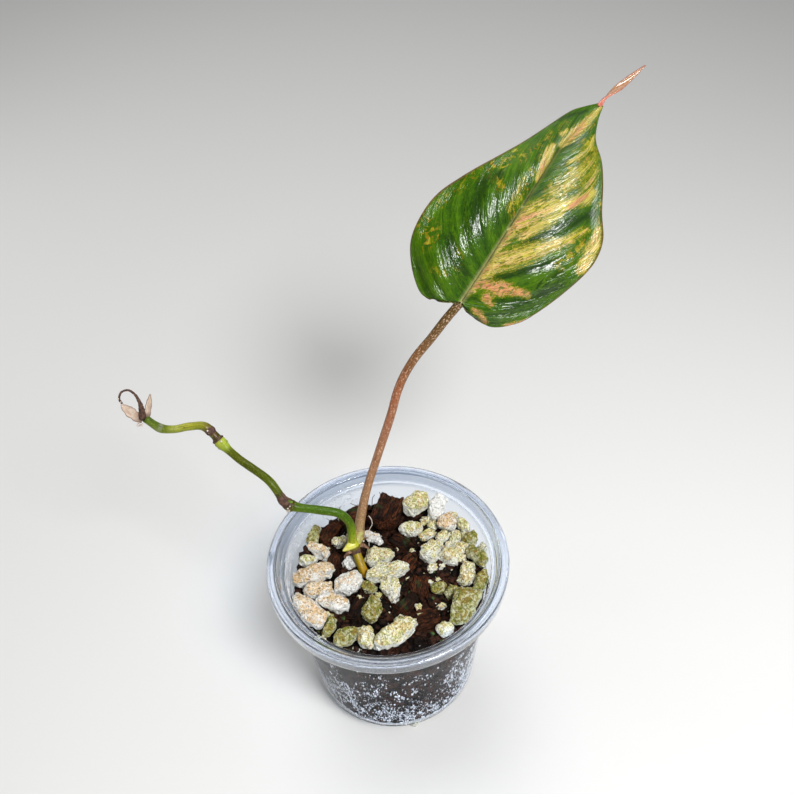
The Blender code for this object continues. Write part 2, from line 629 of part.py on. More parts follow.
def part_neighbours(stones):
    """Flatten each two stones that would meet, on either side of the plane that costs them least."""
    for i, a in enumerate(stones):
        for b in stones[i + 1:]:
            between = b.centre - a.centre
            if between.length > max(a.half) + max(b.half) + 4.0:
                continue
            best = None
            for k in range(SEPARATION_DIRECTIONS):
                angle = 2 * math.pi * k / SEPARATION_DIRECTIONS
                for slope in (-0.5, 0.0, 0.5):
                    normal = Vector((math.cos(angle), math.sin(angle), slope)).normalized()
                    spare = between.dot(normal) - a.reach(normal) - b.reach(normal) - GAP
                    if best is None or spare > best[0]:
                        best = (spare, normal)
            spare, normal = best
            if spare >= 0.0:
                continue
            room = between.dot(normal) - GAP
            share = a.reach(normal) / (a.reach(normal) + b.reach(normal))
            a.planes.append((normal, room * share))
            b.planes.append((-normal, room * (1.0 - share)))


def keep_off_stems(stones):
    """Flatten the stones where the vine or the petiole passes them."""
    path, radii = vine_path_and_radii(0.0)
    stalk, stalk_radii = petiole_path_and_radii()
    spots = [(p, r) for p, r in zip(path + stalk, radii + stalk_radii) if p.z < CUP_HEIGHT]
    for stone in stones:
        for point, radius in spots:
            away = point - stone.centre
            if away.length < max(stone.half) + radius + 2.0:
                stone.planes.append((away.normalized(), away.length - radius * 1.05 - GAP))


def lay_stones():
    """All lumps and chips in their places, apart from each other, the stems and the wall."""
    rng = random.Random(5)
    lumps = []
    for x, y, length, width, height, turn, rise, lift, taper, _ in LUMPS:
        z = MIX_TOP + height / 2 - SINK + lift
        tilt = Matrix.Rotation(math.radians(rng.uniform(-9, 9) - rise), 3, "Y")
        spin = Matrix.Rotation(math.radians(turn), 3, "Z") @ tilt
        half = (length / 2, width / 2, height / 2)
        lumps.append(Stone((x, y, z), half, spin, LUMP_POWER, taper, rng.uniform(0, 90)))
    chips = []
    for x, y, length, width, thick, turn, tilt, lift in CHIPS:
        spin = Matrix.Rotation(math.radians(turn), 3, "Z") @ Matrix.Rotation(math.radians(tilt), 3, "Y")
        half = (length / 2, width / 2, thick / 2)
        chips.append(Stone((x, y, MIX_TOP + lift), half, spin, CHIP_POWER, 0.1, rng.uniform(0, 90)))
    part_neighbours(lumps + chips)
    keep_off_stems(lumps + chips)
    return lumps, chips


def make_stones(lumps, chips):
    """The perlite lumps and the husk chips, each its own object."""
    tints = {
        WHITE: material(WHITE, (0.75, 0.76, 0.74), 0.9),
        CREAM: material(CREAM, (0.62, 0.55, 0.34), 0.9),
        MOSSY: material(MOSSY, (0.33, 0.36, 0.15), 0.9),
    }
    for i, (stone, row) in enumerate(zip(lumps, LUMPS), start=1):
        bm = bmesh.new()
        stone.add_to(bm)
        add_object(f"perlite_{i:02d}", bm, tints[row[-1]], sharp_deg=35.0)
    husk = material("coco_husk", (0.09, 0.035, 0.02), 0.85)
    for i, stone in enumerate(chips, start=1):
        bm = bmesh.new()
        stone.add_to(bm)
        add_object(f"husk_chip_{i:02d}", bm, husk, sharp_deg=35.0)


def mix_profile():
    """The mix's section: a clearance inside the cup's, then in along its top."""
    low = CORNER_R - WALL - GAP
    points = [(0.0, WALL + GAP)] + arc(BASE_FLAT_R, CORNER_R, low, -90, 0, CORNER_STEPS)
    edge = wall_inner_r(MIX_TOP) - GAP
    points.append((edge, MIX_TOP - 1.0))
    radius = edge - 0.5 * MIX_RING_STEP
    while radius > MIX_RING_STEP / 2:
        points.append((radius, MIX_TOP))
        radius -= MIX_RING_STEP
    return points + [(0.0, MIX_TOP)]


def make_mix(lumps, chips):
    """The fine coco mix, with a pocket under each lump and chip and plain holes for stem and roots."""
    bm = turned(mix_profile())
    for vert in bm.verts:
        if vert.co.z > MIX_TOP - 0.5:
            vert.co.z += MIX_BUMP * noise.noise(vert.co * MIX_BUMP_PER_MM)
    mix = add_object("potting_mix", bm, material("coco_mix", (0.035, 0.018, 0.012), 0.95))
    hollows = bmesh.new()
    for stone in lumps + chips:
        stone.add_to(hollows, grow=GAP)
    path, radii = vine_path_and_radii(GAP)
    buried = [(p, r) for p, r in zip(path, radii) if p.z < MIX_TOP + 6.0]
    sweep(hollows, [p for p, _ in buried], [r for _, r in buried], VINE_SIDES)
    place = Matrix.Translation(ROOT_CROWN) @ Matrix.Diagonal((1.0, 1.0, 0.75, 1.0))
    bmesh.ops.create_icosphere(hollows, subdivisions=2, radius=ROOT_CROWN_R + 2 * GAP, matrix=place)
    add_root_strands(hollows, GAP)
    add_boolean(mix, add_tool("mix_hollows", hollows), "DIFFERENCE", overlapping=True)


def main():
    """Build the cup, what fills it and the plant."""
    clear_scene()
    make_cup()
    lumps, chips = lay_stones()
    make_stones(lumps, chips)
    make_mix(lumps, chips)
    make_vine()
    make_roots()
    make_petiole()
    make_leaf()
    make_dry_tip()


main()
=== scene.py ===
"""Looks of a potted variegated micans philodendron: a rooted cutting in a clear grow cup.

Every size is in millimetres until a piece is finished, which puts it in metres in the part's own frame:
the origin is the centre of the cup's base, +Z is up and +X is to the right of the leaf's shown face.
"""

import json
import logging
import math
import random
from dataclasses import dataclass, field
from enum import Enum
from typing import Any, Callable, Iterable

import bmesh
import bpy
import numpy as np
from mathutils import Matrix, Vector, noise


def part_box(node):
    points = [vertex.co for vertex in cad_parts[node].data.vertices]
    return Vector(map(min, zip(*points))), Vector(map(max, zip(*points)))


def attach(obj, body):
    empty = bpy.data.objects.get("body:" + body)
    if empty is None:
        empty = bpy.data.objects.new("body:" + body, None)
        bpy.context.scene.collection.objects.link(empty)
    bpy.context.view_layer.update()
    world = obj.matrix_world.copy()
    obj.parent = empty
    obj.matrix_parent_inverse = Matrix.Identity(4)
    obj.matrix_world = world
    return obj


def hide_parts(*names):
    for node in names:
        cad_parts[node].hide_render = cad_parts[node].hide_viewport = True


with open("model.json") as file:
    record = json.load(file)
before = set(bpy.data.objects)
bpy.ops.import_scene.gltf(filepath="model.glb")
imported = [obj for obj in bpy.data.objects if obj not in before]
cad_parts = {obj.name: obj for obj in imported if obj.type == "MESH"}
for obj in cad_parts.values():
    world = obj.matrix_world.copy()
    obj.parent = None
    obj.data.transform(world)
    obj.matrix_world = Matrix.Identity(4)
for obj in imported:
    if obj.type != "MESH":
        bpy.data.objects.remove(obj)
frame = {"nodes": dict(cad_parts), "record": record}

LOG = logging.getLogger("potted_philodendron")
MM = 0.001
WELD = 1e-4
BODY = "root"
BMesh = bmesh.types.BMesh
Material = bpy.types.Material
Mesh = bpy.types.Mesh
Object = bpy.types.Object
Socket = bpy.types.NodeSocket
Colour = tuple[float, float, float]
Place = tuple[float, float, float]


# Node wiring and the shared shader groups.


class Wiring:
    """Adds nodes to one tree and links their sockets."""

    def __init__(self, tree: bpy.types.NodeTree) -> None:
        """Keeps the tree that the nodes go in.

        Args:
            tree: the node tree of a material, a group or a world.
        """
        self.tree = tree

    def add(self, kind: str, inputs: dict[Any, Any] | None = None, **settings: Any) -> bpy.types.Node:
        """Adds one node with its settings and inputs.

        Args:
            kind: the node's type name.
            inputs: a value or a socket to link, for each input by name or number.
            settings: the node's own properties.

        Returns:
            The new node.
        """
        node = self.tree.nodes.new(kind)
        for key, value in settings.items():
            setattr(node, key, value)
        for key, value in (inputs or {}).items():
            self.feed(node.inputs[key], value)
        return node

    def feed(self, socket: Socket, value: Any) -> None:
        """Links a socket to an input or gives it a value.

        Args:
            socket: the input.
            value: a socket, a plain value, or a colour of three parts.
        """
        if isinstance(value, Socket):
            self.tree.links.new(value, socket)
        elif isinstance(value, tuple) and len(value) == 3 and socket.type == "RGBA":
            socket.default_value = (*value, 1.0)
        else:
            socket.default_value = value

    def math(self, operation: str, first: Any, second: Any = 0.0, clamp: bool = False) -> Socket:
        """Adds a Math node.

        Args:
            operation: the node's operation.
            first: the first value or socket.
            second: the second value or socket.
            clamp: whether the result is held between 0 and 1.

        Returns:
            The result's socket.
        """
        node = self.add("ShaderNodeMath", {0: first, 1: second}, operation=operation, use_clamp=clamp)
        return node.outputs[0]

    def times(self, first: Any, second: Any, clamp: bool = False) -> Socket:
        """The product of two values or sockets, held between 0 and 1 on request."""
        return self.math("MULTIPLY", first, second, clamp)

    def plus(self, first: Any, second: Any) -> Socket:
        """The sum of two values or sockets."""
        return self.math("ADD", first, second)

    def less(self, first: Any, second: Any, clamp: bool = False) -> Socket:
        """The first value or socket less the second, held between 0 and 1 on request."""
        return self.math("SUBTRACT", first, second, clamp)

    def swing(self, wave: Socket, amount: float) -> Socket:
        """A noise that swings about 0 by an amount, instead of about 0.5."""
        return self.times(self.less(wave, 0.5), amount)

    def axis(self, place: Socket, name: str) -> Socket:
        """The "X", "Y" or "Z" of a vector."""
        return self.add("ShaderNodeSeparateXYZ", {0: place}).outputs[name]

    def over(self, colour: Any, mask: Socket, share: float, top: Any) -> Socket:
        """Lays a second colour over a first one.

        Args:
            colour: the first colour or socket.
            mask: where the second one shows.
            share: how strongly it shows there.
            top: the second colour or socket.

        Returns:
            The new colour's socket.
        """
        return self.blend(self.times(mask, share), colour, top)

    def blend(self, share: Any, low: Any, high: Any) -> Socket:
        """Mixes two colours.

        Args:
            share: how much of the second colour, as a value or socket.
            low: the first colour or socket.
            high: the second colour or socket.

        Returns:
            The mixed colour's socket.
        """
        return self.add("ShaderNodeMix", {0: share, 6: low, 7: high}, data_type="RGBA").outputs[2]

    def step(self, value: Any, low: Any, high: Any) -> Socket:
        """Turns a value into a soft mask.

        Args:
            value: the value or socket.
            low: where the mask is 0.
            high: where the mask is 1.

        Returns:
            The mask's socket.
        """
        node = self.add("ShaderNodeMapRange", {"Value": value, "From Min": low, "From Max": high},
                        interpolation_type="SMOOTHSTEP")
        return node.outputs["Result"]

    def noise(self, place: Socket, scale: float, detail: float = 2.0, distortion: float = 0.0) -> Socket:
        """Adds a noise texture.

        Args:
            place: the coordinates.
            scale: the pattern's scale.
            detail: how many finer layers it has.
            distortion: how much it is warped.

        Returns:
            The noise's socket, about 0.5 on average.
        """
        node = self.add("ShaderNodeTexNoise", {"Vector": place, "Scale": scale, "Detail": detail,
                                               "Distortion": distortion})
        return node.outputs["Fac"]

    def stretch(self, place: Socket, scale: Place) -> Socket:
        """Scales coordinates by axis.

        Args:
            place: the coordinates.
            scale: the scale along each axis.

        Returns:
            The scaled coordinates' socket.
        """
        return self.add("ShaderNodeMapping", {"Vector": place, "Scale": scale}).outputs["Vector"]

    def own_place(self) -> Socket:
        """The piece's own coordinates, in metres."""
        return self.add("ShaderNodeTexCoord").outputs["Object"]

    def attribute(self, name: str, output: str = "Fac") -> Socket:
        """An attribute of the mesh, as a value or, with the output "Vector", a vector."""
        return self.add("ShaderNodeAttribute", attribute_name=name).outputs[output]

    def upward(self) -> Socket:
        """How far the surface faces up, from -1 to 1."""
        normal = self.add("ShaderNodeNewGeometry").outputs["Normal"]
        return self.axis(normal, "Z")


class SharedGroups:
    """The effects that several finishes use, each built once as a node group."""

    def __init__(self) -> None:
        """Builds every group."""
        self.blotches = self.make_blotches()
        self.pits = self.make_pits()
        self.fibres = self.make_fibres()

    @staticmethod
    def start(name: str, inputs: dict[str, str], outputs: Iterable[str]) -> tuple[Wiring, Any, Any]:
        """Starts a group.

        Args:
            name: the group's name.
            inputs: each input's name and socket type.
            outputs: the names of its value outputs.

        Returns:
            The wiring, the group's inputs and its output node.
        """
        tree = bpy.data.node_groups.new(name, "ShaderNodeTree")
        for key, kind in inputs.items():
            tree.interface.new_socket(key, in_out="INPUT", socket_type=kind)
        for key in outputs:
            tree.interface.new_socket(key, in_out="OUTPUT", socket_type="NodeSocketFloat")
        wiring = Wiring(tree)
        return wiring, wiring.add("NodeGroupInput").outputs, wiring.add("NodeGroupOutput")

    def make_blotches(self) -> bpy.types.NodeTree:
        """Irregular soft-edged blotches: a mask where warped noise passes a level.

        Returns:
            The group.
        """
        w, given, out = self.start("blotches", {"Vector": "NodeSocketVector", "Scale": "NodeSocketFloat",
                                                "Level": "NodeSocketFloat", "Softness": "NodeSocketFloat"},
                                   ("Mask",))
        cloud = w.add("ShaderNodeTexNoise", {"Vector": given["Vector"], "Scale": given["Scale"],
                                             "Detail": 4.0, "Roughness": 0.62, "Distortion": 0.4})
        w.feed(out.inputs["Mask"], w.step(cloud.outputs["Fac"], w.less(given["Level"], given["Softness"]),
                                          w.plus(given["Level"], given["Softness"])))
        return w.tree

    def make_pits(self) -> bpy.types.NodeTree:
        """Small round pits and grains: a height for bump and a mask of the pits.

        Returns:
            The group.
        """
        w, given, out = self.start("pits", {"Vector": "NodeSocketVector", "Scale": "NodeSocketFloat",
                                            "Size": "NodeSocketFloat"}, ("Height", "Mask"))
        cells = w.add("ShaderNodeTexVoronoi", {"Vector": given["Vector"], "Scale": given["Scale"]})
        grain = w.add("ShaderNodeTexNoise", {"Vector": given["Vector"], "Scale": given["Scale"],
                                             "Detail": 3.0})
        near = w.add("ShaderNodeMapRange", {"Value": cells.outputs["Distance"], "From Max": given["Size"]},
                     interpolation_type="SMOOTHSTEP")
        chance = w.add("ShaderNodeTexNoise", {"Vector": given["Vector"],
                                              "Scale": w.times(given["Scale"], 0.4)})
        gate = w.step(chance.outputs["Fac"], 0.45, 0.58)
        pit = w.times(w.less(1.0, near.outputs["Result"]), gate)
        height = w.less(w.times(grain.outputs["Fac"], 0.6), pit)
        w.feed(out.inputs["Height"], height)
        w.feed(out.inputs["Mask"], pit)
        return w.tree

    def make_fibres(self) -> bpy.types.NodeTree:
        """Fine strands along the first axis of the given coordinates.

        Returns:
            The group.
        """
        w, given, out = self.start("fibres", {"Vector": "NodeSocketVector", "Scale": "NodeSocketFloat"},
                                   ("Strand", "Height"))
        drawn = w.stretch(given["Vector"], (0.12, 1.0, 1.0))
        fine = w.add("ShaderNodeTexNoise", {"Vector": drawn, "Scale": given["Scale"], "Detail": 3.0,
                                            "Roughness": 0.7, "Distortion": 0.3})
        broad = w.add("ShaderNodeTexNoise", {"Vector": drawn, "Detail": 1.0,
                                             "Scale": w.times(given["Scale"], 0.35)})
        strand = w.step(fine.outputs["Fac"], 0.42, 0.6)
        height = w.plus(fine.outputs["Fac"], broad.outputs["Fac"])
        w.feed(out.inputs["Strand"], strand)
        w.feed(out.inputs["Height"], height)
        return w.tree


class Finish:
    """A material under construction: its wiring, its Principled shader and the shared groups."""

    def __init__(self, name: str, groups: SharedGroups) -> None:
        """Makes the material with its Principled shader.

        Args:
            name: the material's name.
            groups: the shared groups.
        """
        self.material = bpy.data.materials.new(name)
        self.material.use_nodes = True
        self.groups = groups
        self.w = Wiring(self.material.node_tree)
        self.shader = self.material.node_tree.nodes["Principled BSDF"]
        self.out = self.material.node_tree.nodes["Material Output"]

    def set(self, **values: Any) -> None:
        """Sets or links the shader's inputs, named with _ for each space."""
        for key, value in values.items():
            self.w.feed(self.shader.inputs[key.replace("_", " ")], value)

    def group(self, tree: bpy.types.NodeTree, **inputs: Any) -> bpy.types.Node:
        """Places a shared group with its values."""
        return self.w.add("ShaderNodeGroup", inputs, node_tree=tree)

    def bump(self, height: Socket, strength: float, distance_mm: float) -> None:
        """Feeds a height to the shader's normal.

        Args:
            height: the height's socket.
            strength: the bump's strength.
            distance_mm: how deep a height of 1 is.
        """
        node = self.w.add("ShaderNodeBump", {"Height": height, "Strength": strength,
                                             "Distance": distance_mm * MM})
        self.set(Normal=node.outputs["Normal"])


# Finishes.


@dataclass(frozen=True)
class ClearPlastic:
    """The cup's thin clear plastic, a little hazed, which lets the lamps through."""

    tint: Colour = (0.86, 0.90, 0.96)
    rim: Colour = (0.62, 0.70, 0.84)
    rim_low: float = 0.0735
    rim_high: float = 0.0765
    roughness: float = 0.06
    lamp_tint: Colour = (0.86, 0.89, 0.93)
    clearness: float = 1.0
    wall_bend: float = 1.05
    rim_bend: float = 1.45

    def build(self, groups: SharedGroups) -> Material:
        """Makes the material.

        Args:
            groups: the shared groups.

        Returns:
            The material.
        """
        finish = Finish("clear_plastic_shell", groups)
        w = finish.w
        scuffs = finish.group(groups.blotches, Vector=w.own_place(), Scale=120.0, Level=0.56, Softness=0.1)
        level = w.axis(w.own_place(), "Z")
        thick = w.step(level, self.rim_low, self.rim_high)
        tint = w.blend(thick, self.tint, self.rim)
        bend = w.plus(self.wall_bend, w.times(thick, self.rim_bend - self.wall_bend))
        finish.set(Base_Color=tint, Coat_Weight=thick, Coat_Roughness=0.04, Coat_IOR=1.6,
                   Roughness=w.plus(self.roughness, w.times(scuffs.outputs["Mask"], 0.08)),
                   Transmission_Weight=self.clearness, IOR=bend)
        clear = w.add("ShaderNodeBsdfTransparent", {"Color": (*self.lamp_tint, 1.0)})
        lamp = w.add("ShaderNodeLightPath").outputs["Is Shadow Ray"]
        both = w.add("ShaderNodeMixShader", {0: lamp, 1: finish.shader.outputs[0], 2: clear.outputs[0]})
        w.feed(finish.out.inputs["Surface"], both.outputs[0])
        return finish.material


@dataclass(frozen=True)
class PerliteFinish:
    """Granular pitted perlite, clean on its flanks and stained and specked on top, with painted shade in its
    pits.
    """

    name: str
    body: Colour
    stain: Colour
    speck: Colour
    algae: Colour
    level: float
    # The colour of the small dark specks, also used as painted shade in the pits.
    speck_and_pit_shade: Colour = (0.12, 0.09, 0.045)

    def build(self, groups: SharedGroups) -> Material:
        """Makes the material.

        Args:
            groups: the shared groups.

        Returns:
            The material.
        """
        finish = Finish(self.name, groups)
        w = finish.w
        place = w.own_place()
        coarse = w.noise(place, 230.0, 3.0, 0.5)
        reach = w.plus(w.times(w.upward(), 0.40), w.times(w.attribute("crown"), 0.55))
        reach = w.plus(reach, w.swing(coarse, 1.5))
        reach = w.plus(reach, w.times(w.attribute("lump"), 0.30))
        stain = w.step(reach, self.level, self.level + 0.55)
        patchy = w.noise(place, 520.0, 5.0, 0.8)
        grain = w.noise(place, 1250.0, 5.0, 0.6)
        dots = w.noise(place, 1700.0, 4.0, 0.3)
        soft = w.times(stain, w.plus(0.3, w.step(patchy, 0.38, 0.60)), True)
        colour = w.blend(soft, self.body, self.stain)
        kind = w.step(w.noise(place, 300.0, 3.0, 0.6), 0.46, 0.56)
        dirt = w.blend(kind, self.speck, self.algae)
        for layer, low, high, most, least in ((patchy, 0.50, 0.62, 0.45, 0.0),
                                              (grain, 0.52, 0.59, 0.72, 0.12)):
            share = w.plus(least, w.times(stain, most - least))
            colour = w.blend(w.times(w.step(layer, low, high), share), colour, dirt)
        share = w.plus(0.25, w.times(stain, 0.45))
        colour = w.blend(w.times(w.step(dots, 0.565, 0.61), share), colour, self.speck_and_pit_shade)
        pits = finish.group(groups.pits, Vector=place, Scale=1000.0, Size=0.40)
        # Painted shade: the pits are darkened towards the dark speck colour.
        colour = w.over(colour, pits.outputs["Mask"], 0.5, self.speck_and_pit_shade)
        finish.set(Base_Color=colour, Roughness=0.95, Specular_IOR_Level=0.05)
        height = w.plus(pits.outputs["Height"], w.times(grain, 2.0))
        finish.bump(w.plus(height, dots), 1.0, 0.75)
        return finish.material


@dataclass(frozen=True)
class HuskFinish:
    """Fibrous coco husk, reddish brown to nearly black, with the strands along the chip."""

    dark: Colour = (0.006, 0.003, 0.002)
    red: Colour = (0.115, 0.032, 0.011)
    tan: Colour = (0.25, 0.105, 0.035)
    moss: Colour = (0.03, 0.055, 0.018)

    def build(self, groups: SharedGroups) -> Material:
        """Makes the material.

        Args:
            groups: the shared groups.

        Returns:
            The material.
        """
        finish = Finish("coco_husk_fibre", groups)
        w = finish.w
        grain = w.attribute("grain", "Vector")
        tone = w.attribute("tone")
        strands = finish.group(groups.fibres, Vector=grain, Scale=2.2)
        wide = w.noise(w.stretch(grain, (0.05, 0.3, 0.3)), 1.0, 3.0)
        warm = w.times(w.step(w.plus(wide, tone), 0.30, 0.72), strands.outputs["Strand"])
        colour = w.blend(warm, self.dark, self.red)
        light = w.times(w.step(w.noise(grain, 1.6, 3.0), 0.55, 0.72), warm)
        colour = w.over(colour, light, 0.8, self.tan)
        green = finish.group(groups.blotches, Vector=w.own_place(), Scale=110.0, Level=0.62, Softness=0.06)
        colour = w.over(colour, green.outputs["Mask"], 0.7, self.moss)
        finish.set(Base_Color=colour, Roughness=0.7, Specular_IOR_Level=0.12)
        finish.bump(strands.outputs["Height"], 1.0, 1.1)
        return finish.material


@dataclass(frozen=True)
class MixFinish:
    """Dark damp coco mix with reddish bits and a few pale specks."""

    dark: Colour = (0.005, 0.003, 0.002)
    brown: Colour = (0.045, 0.017, 0.009)
    pale: Colour = (0.22, 0.19, 0.15)

    def build(self, groups: SharedGroups) -> Material:
        """Makes the material.

        Args:
            groups: the shared groups.

        Returns:
            The material.
        """
        finish = Finish("damp_coco_mix", groups)
        w = finish.w
        place = w.own_place()
        crumbs = w.add("ShaderNodeTexVoronoi", {"Vector": place, "Scale": 420.0, "Randomness": 1.0})
        tone = w.add("ShaderNodeSeparateColor", {0: crumbs.outputs["Color"]}).outputs[0]
        cloud = w.noise(place, 150.0, 4.0, 0.8)
        brown = w.step(w.plus(w.times(tone, 0.5), cloud), 0.62, 0.98)
        colour = w.blend(brown, self.dark, self.brown)
        specks = finish.group(groups.blotches, Vector=place, Scale=900.0, Level=0.69, Softness=0.03)
        colour = w.over(colour, specks.outputs["Mask"], 0.6, self.pale)
        height = w.plus(w.times(crumbs.outputs["Distance"], -0.8), w.noise(place, 900.0, 4.0))
        finish.set(Base_Color=colour, Roughness=w.less(0.9, w.times(cloud, 0.35)),
                   Specular_IOR_Level=0.12)
        finish.bump(height, 1.0, 0.9)
        return finish.material


@dataclass(frozen=True)
class StalkFinish:
    """A stem or leaf stalk: colours in stops along its length, streaked and specked."""

    name: str
    stops: tuple[tuple[float, Colour], ...]
    under: Colour
    under_share: float
    speck: Colour
    speck_share: float
    line: Colour
    dot: Colour
    length_mm: float
    roughness: float = 0.35

    def build(self, groups: SharedGroups) -> Material:
        """Makes the material.

        Args:
            groups: the shared groups.

        Returns:
            The material.
        """
        finish = Finish(self.name, groups)
        w = finish.w
        wrap = w.add("ShaderNodeSeparateXYZ", {0: w.add("ShaderNodeUVMap", uv_map="wrap").outputs["UV"]})
        along = wrap.outputs["Y"]
        turn = w.times(wrap.outputs["X"], 2 * math.pi)
        place = w.own_place()
        rolled = w.add("ShaderNodeCombineXYZ", {"X": w.math("COSINE", turn), "Y": w.math("SINE", turn),
                                                "Z": w.times(along, self.length_mm)}).outputs[0]
        drift = w.swing(w.noise(place, 500.0, 3.0), 2.6 / self.length_mm)
        ramp = w.add("ShaderNodeValToRGB", {0: w.plus(along, drift)})
        items = ramp.color_ramp.elements
        while len(items) < len(self.stops):
            items.new(0.5)
        for item, (at, colour) in zip(items, self.stops):
            item.position = at
            item.color = (*colour, 1.0)
        flank = w.step(w.plus(w.upward(), w.times(w.noise(place, 300.0), 0.5)), 0.75, 0.0)
        colour = w.blend(w.times(flank, self.under_share), ramp.outputs["Color"], self.under)
        lines = w.noise(w.stretch(rolled, (3.2, 3.2, 0.16)), 1.0, 4.0, 0.3)
        colour = w.over(colour, w.step(lines, 0.50, 0.66), 0.5, self.line)
        specks = w.noise(w.stretch(rolled, (3.0, 3.0, 1.3)), 1.0, 4.0)
        colour = w.blend(w.times(w.step(specks, 0.54, 0.66), self.speck_share), colour, self.speck)
        dots = w.noise(place, 1300.0, 4.0)
        colour = w.over(colour, w.step(dots, 0.56, 0.68), 0.55, self.dot)
        finish.set(Base_Color=colour, Roughness=self.roughness, Specular_IOR_Level=0.22)
        finish.bump(w.plus(lines, w.times(specks, 0.6)), 0.6, 0.22)
        return finish.material


